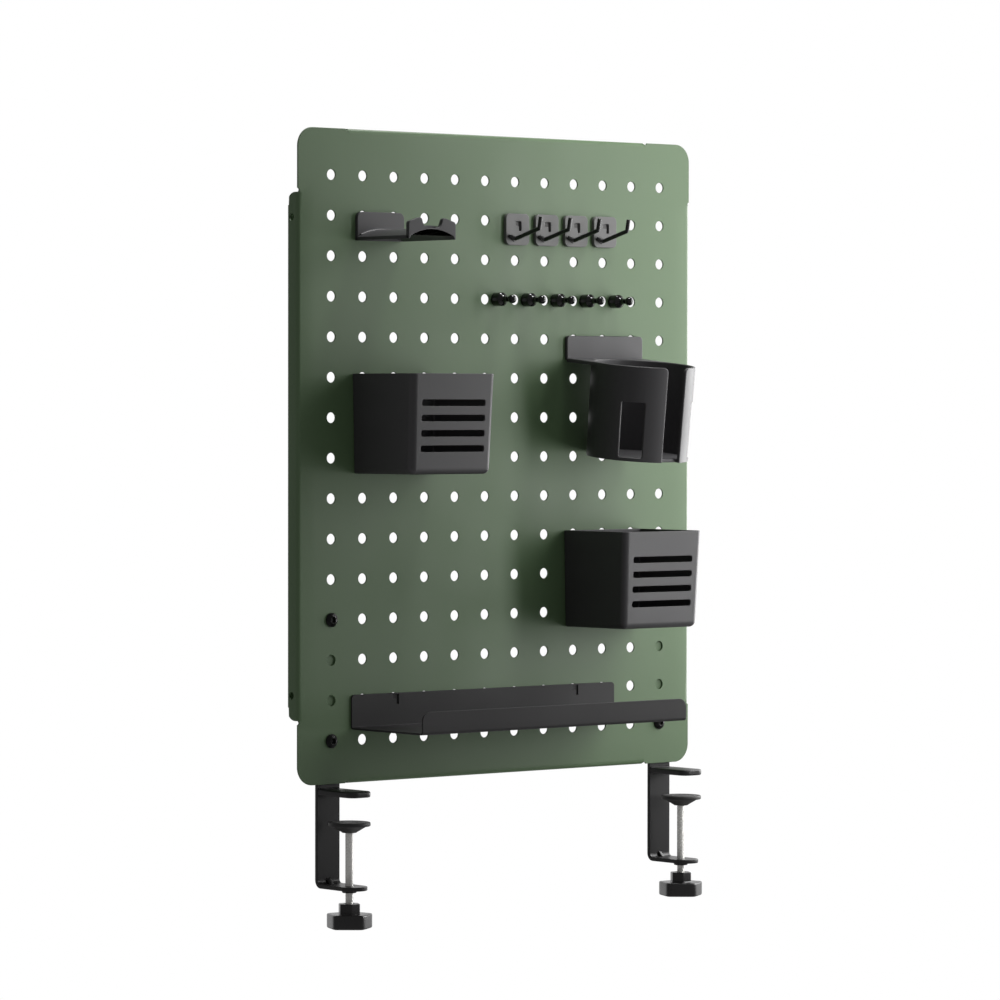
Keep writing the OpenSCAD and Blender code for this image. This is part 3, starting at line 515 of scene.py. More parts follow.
# A run of weld: overlapping beads along a path, each flattened across it.
weld_run, given, result = node_group(
    "weld_run", "GeometryNodeTree",
    {"Path": ("Object", None), "Bead radius": ("Float", 0.001), "Step": ("Float", 0.001),
     "Flatness": ("Float", 0.6), "Material": ("Material", None)},
    {"Geometry": "Geometry"})
tree = weld_run
route = add(tree, "GeometryNodeObjectInfo", _0=given["Path"]).outputs["Geometry"]
line = add(tree, "GeometryNodeMeshToCurve", Mesh=route).outputs[0]
stops = add(tree, "GeometryNodeResampleCurve", {"mode": "LENGTH"}, Curve=line,
            Length=given["Step"]).outputs[0]
bead = add(tree, "GeometryNodeMeshUVSphere", Segments=BEAD_SEGMENTS, Rings=BEAD_RINGS,
           Radius=given["Bead radius"]).outputs["Mesh"]
squash = add(tree, "ShaderNodeCombineXYZ", X=1.0, Y=1.0, Z=given["Flatness"]).outputs[0]
low_bead = add(tree, "GeometryNodeTransform", Geometry=bead, Scale=squash).outputs[0]
drawn = add(tree, "GeometryNodeInstanceOnPoints", Points=stops, Instance=low_bead).outputs[0]
real = add(tree, "GeometryNodeRealizeInstances", Geometry=drawn).outputs[0]
coated = add(tree, "GeometryNodeSetMaterial", Geometry=real, Material=given["Material"]).outputs[0]
tree.links.new(coated, result["Geometry"])


def weld(name, points, material, radius=WELD_RADIUS, step=WELD_STEP, flatness=WELD_FLATNESS):
    """Weld along a line of points in millimetres."""
    route = bpy.data.meshes.new("route")
    links = [(i, i + 1) for i in range(len(points) - 1)]
    route.from_pydata([Vector(p) * MILLIMETRE for p in points], links, [])
    guide = bpy.data.objects.new("guide", route)
    bpy.context.scene.collection.objects.link(guide)
    made = grown(name, weld_run, Path=guide, Bead_radius=radius * MILLIMETRE, Step=step * MILLIMETRE,
                 Flatness=flatness, Material=material)
    bpy.data.objects.remove(guide)
    return piece(name, made, material)


def softened(mesh, width, steps=3, sharp=50):
    """Mesh with its sharper edges rounded to a width."""
    return applied("softened", mesh, [easing(width, steps, sharp, harden=False)])


def carved(mesh, cutters):
    """Mesh without what the closed shapes of a skin take up."""
    cutter = bpy.data.objects.new("cutter", cutters.mesh("cutter"))
    bpy.context.scene.collection.objects.link(cutter)
    settings = {"operation": "DIFFERENCE", "solver": "EXACT", "object": cutter}
    cut = applied("cut", mesh, [("BOOLEAN", settings)])
    bpy.data.objects.remove(cutter)
    return cut


def prism(skin, outline, ends, place):
    """Closed shape of an outline between two depths. Place maps its points and a depth to space."""
    rows = [[place(u, v, depth) for u, v in outline] for depth in ends]
    skin.strip(rows, closed=True)
    for row in rows:
        skin.face(row)


def rounded(points, radii, steps=6):
    """Outline whose corners are rounded by arcs; a radius of 0 leaves its corner."""
    outline = []
    for i, radius in enumerate(radii):
        corner = Vector(points[i])
        if radius == 0:
            outline.append(tuple(corner))
            continue
        a = (Vector(points[i - 1]) - corner).normalized()
        b = (Vector(points[(i + 1) % len(points)]) - corner).normalized()
        half = a.angle(b) / 2
        middle = corner + (a + b).normalized() * radius / math.sin(half)
        first = corner + a * radius / math.tan(half) - middle
        last = corner + b * radius / math.tan(half) - middle
        sweep = first.angle(last)
        for k in range(steps + 1):
            share = k / steps
            swung = (first * math.sin((1 - share) * sweep) + last * math.sin(share * sweep)) / math.sin(sweep)
            outline.append(tuple(middle + swung))
    return outline


def oblong(low_u, low_v, high_u, high_v):
    """Outline of a rectangle."""
    return [(low_u, low_v), (high_u, low_v), (high_u, high_v), (low_u, high_v)]


def circle(middle, radius, sides):
    """Points all round a circle in a plane."""
    return arc(middle, radius, 0, 360 - 360 / sides, sides - 1)


def flatways(u, v, depth):
    """Place of a point of an outline seen from above, at a height."""
    return (u, v, depth)


def frontways(u, v, depth):
    """Place of a point of an outline seen from the front, at a place in Y."""
    return (u, depth, v)


def sideways(u, v, depth):
    """Place of a point of an outline seen from the side, at a place in X."""
    return (depth, u, v)


for side in ("left", "right"):
    low, high = box_of(f"{side}_clamp_strap")
    middle = (low.x + high.x) / 2
    half = (high.x - low.x) / 2
    jaw_z = low.z + STRAP
    bend_y = STRAP - STRAP_BEND
    bend_z = low.z + STRAP_BEND
    outline = [(STRAP, high.z), (0, high.z)]
    outline += arc((bend_y, bend_z), STRAP_BEND - STRAP, 0, -90, END_STEPS)
    outline += [(low.y, jaw_z), (low.y, low.z)]
    outline += arc((bend_y, bend_z), STRAP_BEND, -90, 0, ROUND_STEPS)
    bar = Skin()
    prism(bar, outline, (low.x, high.x), sideways)
    waste = Skin()
    outline = arc((middle, low.y + half), half, 0, -180, JAW_TIP_STEPS)
    outline += [(low.x - CUT_OVER, low.y + half), (low.x - CUT_OVER, low.y - CUT_OVER),
                (high.x + CUT_OVER, low.y - CUT_OVER), (high.x + CUT_OVER, low.y + half)]
    prism(waste, outline, (low.z - CUT_OVER, jaw_z + CUT_OVER), flatways)
    bush_low, bush_high = box_of(f"{side}_screw_bush")
    outline = circle((middle, (bush_low.y + bush_high.y) / 2), JAW_HOLE_RADIUS, JAW_HOLE_SIDES)
    prism(waste, outline, (low.z - CUT_OVER, jaw_z + CUT_OVER), flatways)
    for bolt_z in (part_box("board_bolts")[0].z / MILLIMETRE + HEAD_RADIUS,
                   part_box("board_bolts")[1].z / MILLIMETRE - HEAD_RADIUS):
        outline = arc((middle + BOLT_SLOT_PLAY, bolt_z), BOLT_SLOT_RADIUS, -90, 90, ROUND_STEPS)
        outline += arc((middle - BOLT_SLOT_PLAY, bolt_z), BOLT_SLOT_RADIUS, 90, 270, ROUND_STEPS)
        prism(waste, outline, (-CUT_OVER, STRAP + CUT_OVER), frontways)
    strap_skin = Skin()
    strap_skin.take(softened(carved(bar.mesh("bar"), waste), STRAP_EDGE, steps=3, sharp=40))
    rib = Skin()
    outline = [(RIB_SINK, jaw_z - RIB_SINK), (RIB_SINK, jaw_z + RIB_LEG), (0, jaw_z + RIB_LEG),
               (-RIB_LEG, jaw_z), (-RIB_LEG, jaw_z - RIB_SINK)]
    prism(rib, outline, (middle - RIB_WIDTH / 2, middle + RIB_WIDTH / 2), sideways)
    strap_skin.take(softened(rib.mesh("rib"), JAW_EDGE, steps=4, sharp=40))
    strap = piece(f"{side}_strap", strap_skin.mesh("strap"), black_coat, even=True)
    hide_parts(f"{side}_clamp_strap")
    low, high = box_of(f"{side}_upper_jaw")
    tongue = Skin()
    outline = rounded(oblong(low.x, high.y, high.x, low.y), [0, 0, JAW_ROUND, JAW_ROUND], ROUND_STEPS)
    prism(tongue, outline, (low.z, high.z), flatways)
    rounded_tongue = softened(tongue.mesh("tongue"), JAW_EDGE, steps=4, sharp=40)
    jaw = piece(f"{side}_jaw", rounded_tongue, black_coat, even=True)
    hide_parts(f"{side}_upper_jaw")
    seam = weld(f"{side}_jaw_weld", [(low.x + WELD_INSET, 0, high.z), (high.x - WELD_INSET, 0, high.z)],
                black_coat)
    for made in (strap, jaw, seam):
        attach(made, "frame")

# Threaded bushes
# A turned steel bush is pressed through each lower jaw from below and guides the screw. Its thread is
# out of sight, so the bore is smooth.

BUSH_BORE = 3.02
BUSH_CHAMFER = 0.5
BUSH_WALL = 1
TURNED_SIDES = 48


def turned_loops(profile, middle, sides=TURNED_SIDES, axis="z"):
    """Loops of points for a turned shape; its profile gives radius and height along the axis."""
    loops = []
    for radius, level in profile:
        ring = [(radius * math.cos(2 * math.pi * i / sides), radius * math.sin(2 * math.pi * i / sides))
                for i in range(sides)]
        if axis == "z":
            loops.append([(middle[0] + x, middle[1] + y, middle[2] + level) for x, y in ring])
        else:
            loops.append([(middle[0] + x, middle[1] - level, middle[2] + y) for x, y in ring])
    return loops


def turned(name, profile, middle, material, sides=TURNED_SIDES, axis="z", sharp=35):
    """Turned piece; a profile that comes back to its first point is a ring."""
    skin = Skin()
    skin.strip(turned_loops(profile, middle, sides, axis), closed=True)
    return piece(name, skin.mesh(name), material, sharp=sharp)


for side in ("left", "right"):
    low, high = box_of(f"{side}_screw_bush")
    middle = ((low.x + high.x) / 2, (low.y + high.y) / 2, low.z)
    jaw_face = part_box(f"{side}_clamp_strap")[0].z / MILLIMETRE - low.z
    collar = (high.x - low.x) / 2
    sleeve = BUSH_BORE + BUSH_WALL
    bush = turned(f"{side}_bush", [
        (BUSH_BORE, BUSH_CHAMFER), (BUSH_BORE + BUSH_CHAMFER, 0), (collar - BUSH_CHAMFER, 0),
        (collar, BUSH_CHAMFER), (collar, jaw_face), (sleeve, jaw_face), (sleeve, high.z - low.z),
        (BUSH_BORE, high.z - low.z), (BUSH_BORE, BUSH_CHAMFER)], middle, black_coat)
    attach(bush, "frame")
    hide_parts(f"{side}_screw_bush")

# Clamp screws
# A zinc-plated M6 screw ends at the top in a ball for the pad. Its thread runs the whole length, and
# is shallow because the photo shows a nearly smooth rod.

THREAD_PITCH = 1
THREAD_DEPTH = 0.15
ROD_SIDES = 20
THREAD_STEPS = 6
ROD_END = 0.4999
BALL_RADIUS = 3.5
BALL_SINK = 0.7
BALL_SIDES = 32
BALL_STEPS = 15
ZINC = "#ebeae6"
ZINC_BRIGHT = "#f7f6f4"

zinc = finish_of("zinc", ZINC, ZINC_BRIGHT, roughness=0.3, grain_size=0.0008, depth=0.000004,
                 drift=0.1, wear=0.4, constants={"Metallic": 0.4})

# Screw thread: a grid is rolled into a tube, and each point lies lower or higher by its place in the
# turn. Its last rows shrink to the axis and close the ends.
threaded_rod, given, result = node_group(
    "threaded_rod", "GeometryNodeTree",
    {"Length": ("Float", 0.05), "Radius": ("Float", 0.003), "Pitch": ("Float", 0.001),
     "Depth": ("Float", 0.0005), "Sides": ("Int", 20), "Steps in a turn": ("Int", 6),
     "Material": ("Material", None)},
    {"Geometry": "Geometry"})
tree = threaded_rod
turns = maths(tree, "DIVIDE", given["Length"], given["Pitch"])
rows = maths(tree, "CEIL", maths(tree, "MULTIPLY", turns, given["Steps in a turn"]))
sheet = add(tree, "GeometryNodeMeshGrid", Size_X=1.0, Size_Y=1.0, Vertices_Y=rows,
            Vertices_X=maths(tree, "ADD", given["Sides"], 1)).outputs["Mesh"]
flat = add(tree, "ShaderNodeSeparateXYZ", _0=add(tree, "GeometryNodeInputPosition").outputs[0]).outputs
around = maths(tree, "ADD", flat[0], 0.5)
along = maths(tree, "ADD", flat[1], 0.5)
phase = maths(tree, "SUBTRACT", maths(tree, "MULTIPLY", along, turns), around)
wave = maths(tree, "MULTIPLY", maths(tree, "PINGPONG", phase, 0.5), 2)
radius = maths(tree, "SUBTRACT", given["Radius"], maths(tree, "MULTIPLY", wave, given["Depth"]))
inside = maths(tree, "LESS_THAN", maths(tree, "ABSOLUTE", flat[1]), ROD_END)
kept = maths(tree, "MULTIPLY", radius, inside)
angle = maths(tree, "MULTIPLY", around, 2 * math.pi)
place = add(tree, "ShaderNodeCombineXYZ", X=maths(tree, "MULTIPLY", kept, maths(tree, "COSINE", angle)),
            Y=maths(tree, "MULTIPLY", kept, maths(tree, "SINE", angle)),
            Z=maths(tree, "MULTIPLY", along, given["Length"])).outputs[0]
rolled = add(tree, "GeometryNodeSetPosition", Geometry=sheet, Position=place).outputs[0]
welded = add(tree, "GeometryNodeMergeByDistance", Geometry=rolled, Distance=MERGE_DISTANCE).outputs[0]
plated = add(tree, "GeometryNodeSetMaterial", Geometry=welded, Material=given["Material"]).outputs[0]
tree.links.new(plated, result["Geometry"])


def threaded(length, material):
    """Plain mesh of a threaded rod that stands on the origin; its length is in millimetres."""
    return grown("rod", threaded_rod, Length=length * MILLIMETRE, Radius=SCREW_RADIUS * MILLIMETRE,
                 Pitch=THREAD_PITCH * MILLIMETRE, Depth=THREAD_DEPTH * MILLIMETRE, Sides=ROD_SIDES,
                 Steps_in_a_turn=THREAD_STEPS, Material=material)


for side in ("left", "right"):
    low, high = box_of(f"{side}_clamp_screw")
    middle = ((low.x + high.x) / 2, (low.y + high.y) / 2)
    ball_z = high.z - BALL_RADIUS
    rod = threaded(ball_z - BALL_RADIUS * BALL_SINK - low.z, zinc)
    rod.transform(Matrix.Translation(Vector((*middle, low.z)) * MILLIMETRE))
    screw_skin = Skin()
    screw_skin.take(rod)
    ball = arc((0, 0), BALL_RADIUS, 90, -90, BALL_STEPS)
    screw_skin.strip(turned_loops(ball, (*middle, ball_z), BALL_SIDES), closed=True)
    screw = piece(f"{side}_screw_rod", screw_skin.mesh("screw"), zinc, sharp=50)
    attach(screw, f"{side}_screw")
    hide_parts(f"{side}_clamp_screw")

# Swivel pads
# A black rubber disc with ring grooves on its face is moulded over a steel cup, which snaps on the ball.

PAD_RADIUS = 15.75
PAD_RIM = 3
PAD_CONE = 4.8
PAD_CONE_RADIUS = 12.5
PAD_NECK_RADIUS = 5.25
PAD_ROUND = 0.9
GROOVE_DEPTH = 0.35
GROOVES = (6, 9, 12)
GROOVE_MOUTH = 0.5
GROOVE_FLOOR = 0.2
PAD_SIDES = 64
PAD_STEPS = 5
CONE_LIP = (0.6, 0.4)
NECK_LIP = (0.5, 0.4)
NECK_PLAY = (0.3, 0.1)
SOCKET_DROP = 1.8
SOCKET_PLAY = 0.05
SOCKET_TURN = -25
RUBBER = "#222121"
RUBBER_WORN = "#3c3a39"

rubber = finish_of("rubber", RUBBER, RUBBER_WORN, roughness=0.55, grain_size=0.0003, depth=0.00002,
                   drift=0.15, wear=0.4)
pad_profile = [(0, 0)]
for groove in GROOVES:
    pad_profile += [(groove - GROOVE_MOUTH, 0), (groove - GROOVE_FLOOR, -GROOVE_DEPTH),
                    (groove + GROOVE_FLOOR, -GROOVE_DEPTH), (groove + GROOVE_MOUTH, 0)]
pad_profile += arc((PAD_RADIUS - PAD_ROUND, -PAD_ROUND), PAD_ROUND, 90, 0, PAD_STEPS)
pad_profile += arc((PAD_RADIUS - PAD_ROUND, -PAD_RIM + PAD_ROUND), PAD_ROUND, 0, -90, PAD_STEPS)
neck_z = -PAD_RIM - PAD_CONE
socket_z = neck_z + BALL_RADIUS
pad_profile += [(PAD_CONE_RADIUS + CONE_LIP[0], -PAD_RIM), (PAD_CONE_RADIUS, -PAD_RIM - CONE_LIP[1])]
pad_profile += [(PAD_NECK_RADIUS + NECK_LIP[0], neck_z + NECK_LIP[1]), (PAD_NECK_RADIUS, neck_z)]
pad_profile += [(SCREW_RADIUS + NECK_PLAY[0], neck_z), (SCREW_RADIUS + NECK_PLAY[1], socket_z - SOCKET_DROP)]
pad_profile += arc((0, socket_z), BALL_RADIUS + SOCKET_PLAY, SOCKET_TURN, 90, END_STEPS)
for side in ("left", "right"):
    low, high = box_of(f"{side}_clamp_pad")
    middle = ((low.x + high.x) / 2, (low.y + high.y) / 2, high.z)
    pad = turned(f"{side}_pad_disc", pad_profile, middle, rubber, sides=PAD_SIDES)
    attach(pad, f"{side}_pad")
    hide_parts(f"{side}_clamp_pad")

# Knobs
# A five-cornered grip with a hexagonal hub, moulded in black plastic round the screw's end.

KNOB_SIDES = 120
KNOB_CORNERS = 5
KNOB_TURN = math.radians(-22.7)
GRIP_SHARE = 10.7 / 18.3
KNOB_ROUND = 1.2
HUB_ROUND = 0.6
HUB_FLATS = 15
HUB_BLUNT = 0.25
HUB_FLARE = 0.5
HUB_STEPS = 4
HEX = 6
HEX_SOFTNESS = 60
GRIP_SOFTNESS = 24
GRIP_SWELL = 1.04
GRIP_STEPS = 5
FOOT_RADII = (9.0, 9.6)
FOOT_DEPTH = 1.0
BORE_MOUTH = 4.2
BORE_CHAMFER = 0.8
BORE_PLAY = 0.05
BORE_END = 0.1
KNOB_BLACK = "#232223"
KNOB_BLACK_WORN = "#454344"

knob_plastic = finish_of("knob_plastic", KNOB_BLACK, KNOB_BLACK_WORN, roughness=0.3, grain_size=0.0006,
                         depth=0.00003, drift=0.1, wear=0.5)


def cornered(corners, flats, corner_radius, inset, level, middle, sides=KNOB_SIDES,
             softness=GRIP_SOFTNESS, turn=0):
    """Loop of a regular polygon whose corners are cut by a circle, with a soft change between them."""
    loop = []
    for i in range(sides):
        angle = 2 * math.pi * i / sides
        lean = angle % (2 * math.pi / corners) - math.pi / corners
        straight = (flats / 2 - inset) / math.cos(lean)
        limit = corner_radius - inset
        radius = (straight ** -softness + limit ** -softness) ** (-1 / softness)
        spot = (radius * math.cos(angle + turn), radius * math.sin(angle + turn))
        loop.append((middle[0] + spot[0], middle[1] + spot[1], middle[2] + level))
    return loop


for side in ("left", "right"):
    low, high = box_of(f"{side}_clamp_knob")
    screw_low, screw_high = box_of(f"{side}_clamp_screw")
    middle = ((screw_low.x + screw_high.x) / 2, (screw_low.y + screw_high.y) / 2, low.z)
    grip_radius = (high.y - low.y) / 2
    total = high.z - low.z
    grip = total * GRIP_SHARE
    flats = 2 * grip_radius * GRIP_SWELL * math.cos(math.pi / KNOB_CORNERS)
    skin = Skin()
    grip_rows = [(FOOT_RADII[0], 0, FOOT_DEPTH), (FOOT_RADII[1], 0, 0)]
    for start, stop, level in ((270, 180, KNOB_ROUND), (180, 90, grip - KNOB_ROUND)):
        rounding = arc((KNOB_ROUND, level), KNOB_ROUND, start, stop, GRIP_STEPS)
        grip_rows += [(grip_radius, *row) for row in rounding]
    loops = turned_loops([(0, FOOT_DEPTH)], middle, KNOB_SIDES)
    for limit, inset, level in grip_rows:
        loops.append(cornered(KNOB_CORNERS, flats, limit, inset, level, middle, turn=KNOB_TURN))
    limit = HUB_FLATS / 2 / math.cos(math.pi / HEX) - HUB_BLUNT
    hub_rows = [(-HUB_FLARE, grip), (0, grip + HUB_FLARE)]
    hub_rows += arc((HUB_ROUND, total - HUB_ROUND), HUB_ROUND, 180, 90, HUB_STEPS)
    for inset, level in hub_rows:
        loops.append(cornered(HEX, HUB_FLATS, limit, inset, level, middle, softness=HEX_SOFTNESS))
    bore = SCREW_RADIUS + BORE_PLAY
    bore_end = grip / 2 + BORE_END
    bore_rows = [(BORE_MOUTH, total), (bore, total - BORE_CHAMFER), (bore, bore_end), (0, bore_end)]
    loops += turned_loops(bore_rows, middle, KNOB_SIDES)
    skin.strip(loops, closed=True)
    knob = piece(f"{side}_knob", skin.mesh("knob"), knob_plastic, sharp=35)
    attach(knob, f"{side}_screw")
    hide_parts(f"{side}_clamp_knob")

# Board bolts and nuts
# Four blackened M6 button-head bolts with hex sockets go through board, plate and strap into hex nuts.

BOLT_COLUMNS = 2
BOLT_ROWS = 2
HEAD_HEIGHT = 3.3
SOCKET_FLATS = 4
SOCKET_DEPTH = 2
NUT_FLATS = 10
NUT_HEIGHT = 5
NUT_CHAMFER = 0.5
NUT_BLUNT = 0.1
NUT_MOUTH = 1.2
HEAD_CHAMFER = 0.3
HEAD_RIM = 0.6
DOME_SHARE = 1.4
DOME_STEPS = 6
SOCKET_MOUTH = 0.62
SOCKET_EDGE = 0.7
SOCKET_LIMIT = 9
BOLT_HOLES_APART = 3
BOLT_BLACK = "#161616"
BOLT_BLACK_WORN = "#5a5856"

black_steel = finish_of("black_steel", BOLT_BLACK, BOLT_BLACK_WORN, roughness=0.35, grain_size=0.0004,
                        depth=0.000008, drift=0.15, wear=0.6, constants={"Metallic": 0.7})

# Like fasteners on a grid of places in the board's plane.
fasteners, given, result = node_group(
    "fasteners", "GeometryNodeTree",
    {"Fastener": ("Object", None), "Columns": ("Int", 2), "Rows": ("Int", 2), "Width": ("Float", 0.3),
     "Height": ("Float", 0.1), "Material": ("Material", None)},
    {"Geometry": "Geometry"})
tree = fasteners
places = add(tree, "GeometryNodeMeshGrid", Vertices_X=given["Columns"], Vertices_Y=given["Rows"],
             Size_X=given["Width"], Size_Y=given["Height"]).outputs["Mesh"]
stood = add(tree, "GeometryNodeTransform", Geometry=places, Rotation=(math.pi / 2, 0, 0)).outputs[0]
one = add(tree, "GeometryNodeObjectInfo", _0=given["Fastener"]).outputs["Geometry"]
copies = add(tree, "GeometryNodeInstanceOnPoints", Points=stood, Instance=one).outputs[0]
real = add(tree, "GeometryNodeRealizeInstances", Geometry=copies).outputs[0]
finished = add(tree, "GeometryNodeSetMaterial", Geometry=real, Material=given["Material"]).outputs[0]
tree.links.new(finished, result["Geometry"])


def lying(loop):
    """Turns a loop about Z so that its axis points to the front."""
    return [(x, -z, y) for x, y, z in loop]


origin = (0, 0, 0)
bolt_skin = Skin()
shank = threaded(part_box("board_bolts")[1].y / MILLIMETRE - front, black_steel)
shank.transform(Matrix.Rotation(-math.pi / 2, 4, "X"))
bolt_skin.take(shank)
head = [(0, 0), (HEAD_RADIUS - HEAD_CHAMFER, 0), (HEAD_RADIUS, HEAD_CHAMFER), (HEAD_RADIUS, HEAD_RIM)]
dome_radius = HEAD_RADIUS * DOME_SHARE
start_angle = math.degrees(math.acos(HEAD_RADIUS / dome_radius))
end_angle = math.degrees(math.acos((SOCKET_FLATS * SOCKET_MOUTH) / dome_radius))
head += arc((0, HEAD_HEIGHT - dome_radius), dome_radius, start_angle, end_angle, DOME_STEPS)
socket_z = HEAD_HEIGHT - SOCKET_DEPTH
loops = turned_loops(head, origin)
for level in (HEAD_HEIGHT - SOCKET_EDGE, socket_z):
    loops.append(cornered(HEX, SOCKET_FLATS, SOCKET_LIMIT, 0, level, origin, TURNED_SIDES, HEX_SOFTNESS))
loops += turned_loops([(0, socket_z)], origin)
bolt_skin.strip([lying(loop) for loop in loops], closed=True)
nut_skin = Skin()
bore = turned_loops([(SCREW_RADIUS, NUT_HEIGHT - NUT_CHAMFER), (SCREW_RADIUS, NUT_CHAMFER),
                     (SCREW_RADIUS * NUT_MOUTH, 0)], origin)
face_limit = NUT_FLATS / 2 - NUT_BLUNT
corner_limit = NUT_FLATS / 2 / math.cos(math.pi / HEX)
outside = [cornered(HEX, NUT_FLATS, limit, 0, level, origin, TURNED_SIDES, HEX_SOFTNESS)
           for limit, level in ((face_limit, 0), (corner_limit, NUT_CHAMFER),
                                (corner_limit, NUT_HEIGHT - NUT_CHAMFER), (face_limit, NUT_HEIGHT))]
mouth = turned_loops([(SCREW_RADIUS * NUT_MOUTH, NUT_HEIGHT)], origin)
nut_skin.strip([lying(loop) for loop in bore + outside + mouth + bore[:1]], closed=True)
for name, skin, node, face_y in (
        ("bolts", bolt_skin, "board_bolts", front),
        ("nuts", nut_skin, "board_nuts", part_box("board_nuts")[1].y / MILLIMETRE)):
    low, high = box_of(node)
    one = piece("one", skin.mesh("one"), black_steel, sharp=35)
    width = 2 * (field_x - HOLE_PITCH / 2)
    height = BOLT_HOLES_APART * HOLE_PITCH
    many = grown(name, fasteners, Fastener=one, Columns=BOLT_COLUMNS, Rows=BOLT_ROWS,
                 Width=width * MILLIMETRE, Height=height * MILLIMETRE, Material=black_steel)
    many.transform(Matrix.Translation(Vector((0, face_y, (low.z + high.z) / 2)) * MILLIMETRE))
    bpy.data.objects.remove(one)
    made = piece(name, many, black_steel, sharp=35)
    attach(made, "frame")
    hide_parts(node)

# Bins
# Two open bins, moulded in charcoal plastic with a fine spark-eroded skin, have four slots in front.
# Three hooked pegs and two round ones are moulded on the back and go into the board's holes.

BIN_WALL = 2
BIN_ROUND = 5
BIN_BACK_ROUND = 1.5
BIN_SIDE_DRAFT = 1.5
BIN_FRONT_DRAFT = 3.5
BIN_EDGE = 0.5
BIN_TOP = 2.8
SLOT_LENGTH = 61
SLOT_HEIGHT = 4.7
SLOT_ROUND = 1.6
SLOT_COUNT = 4
SLOT_PITCH = 11.3
SLOT_FIRST = 21.6
PEG_HALF = 2
PEG_LOW = -3.21
PEG_HEIGHT = 2.9
PEG_DROP = 2.6
PEG_GRIP = (1.8, 3.8)
NUB_RADIUS = 2
NUB_DROP = 61.75
NUB_SINK = 1
NUB_CHAMFER = 0.3
NUB_SIDES = 24
SLOT_CUT = 5
TUB_TURNS = (-90, -72, -54, -36, -18, 0, None)
TUB_STEPS = 7
SEAT_GAP = 0.1
CHARCOAL = "#3a393b"
CHARCOAL_WORN = "#6b6a6c"

charcoal = finish_of("charcoal", CHARCOAL, CHARCOAL_WORN, roughness=0.5, grain_size=0.0004, depth=0.00002,
                     ripple_size=0.006, ripple_share=0.3, drift=0.1, wear=0.4)


def add_peg(skin, x, z, root, half=PEG_HALF, low=PEG_LOW):
    """Hooked peg in the board's hole at x and z; its root is its length in front of the board."""
    grip, tip = PEG_GRIP
    outline = [(-root, low), (grip, low), (grip, low - PEG_DROP), (tip, low - PEG_DROP),
               (tip, low + PEG_HEIGHT), (-root, low + PEG_HEIGHT)]
    prism(skin, outline, (-half, half), lambda u, v, depth: (x + depth, front + u, z + v))


def tub_rows(wall, low, high):
    """Rows of a bin's skin from its bottom to its rim, moved inwards by a wall. The turns round the
    bottom edge, and None is the rim, where the drafts end."""
    middle = (low.x + high.x) / 2
    half = (high.x - low.x) / 2 - wall
    drop = low.z - high.z + wall
    bends = [(half, BIN_BACK_ROUND, (90, 0), front - SEAT_GAP - wall, -1),
             (half, BIN_ROUND - wall, (0, -90), low.y + wall, 1)]
    rows = []
    for turn in TUB_TURNS:
        reach = 1 if turn is None else math.cos(math.radians(turn))
        quarter = []
        for side, radius, (start, end), edge, way in bends:
            x = side - radius - (0 if turn is None else BIN_SIDE_DRAFT)
            y = edge + way * radius + (BIN_FRONT_DRAFT if way > 0 and turn is not None else 0)
            level = 0 if turn is None else drop + radius + radius * math.sin(math.radians(turn))
            quarter += [(a, b, high.z + level) for a, b in arc((x, y), radius * reach, start, end, TUB_STEPS)]
        rows.append([(middle + x, y, z) for x, y, z in quarter]
                    + [(middle - x, y, z) for x, y, z in reversed(quarter)])
    return rows


for node in ("upper_bin", "lower_bin"):
    low, high = box_of(node)
    middle = (low.x + high.x) / 2
    rim = high.z
    skin = Skin()
    outer = tub_rows(0, low, high)
    inner = tub_rows(BIN_WALL, low, high)
    skin.strip(outer + inner[::-1], closed=True)
    skin.face(outer[0])
    skin.face(inner[0])
    slots = Skin()
    outline = rounded(oblong(-SLOT_LENGTH / 2, -SLOT_HEIGHT / 2, SLOT_LENGTH / 2, SLOT_HEIGHT / 2),
                      [SLOT_ROUND] * 4)
    for i in range(SLOT_COUNT):
        prism(slots, outline, (low.y - SLOT_CUT, low.y + 2 * SLOT_CUT),
              lambda u, v, depth: (middle + u, depth, rim - SLOT_FIRST - i * SLOT_PITCH + v))
    eased = Skin()
    eased.take(softened(carved(skin.mesh("shell"), slots), BIN_EDGE, steps=2))
    for i in (-1, 0, 1):
        add_peg(eased, middle + i * HOLE_PITCH, rim - BIN_TOP, SEAT_GAP + BIN_WALL / 2)
    for i in (-1, 1):
        nub_end = SHEET + NUB_SINK
        nub = [(0, 0), (NUB_RADIUS, 0), (NUB_RADIUS, nub_end - NUB_CHAMFER),
               (NUB_RADIUS - NUB_CHAMFER, nub_end), (0, nub_end)]
        place = (middle + i * HOLE_PITCH, front - NUB_SINK, rim - BIN_TOP - NUB_DROP)
        loops = turned_loops([(radius, -level) for radius, level in nub], place, NUB_SIDES, "front")
        eased.strip(loops, closed=True)
    basket = piece(node + "_shell", eased.mesh("basket"), charcoal, even=True)
    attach(basket, node)
    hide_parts(node)

# Cup holder
# A leaning cup, open at the front and with a window on each side, hangs from a deck
# and a back plate with three hooked pegs. It is moulded in the same charcoal plastic.

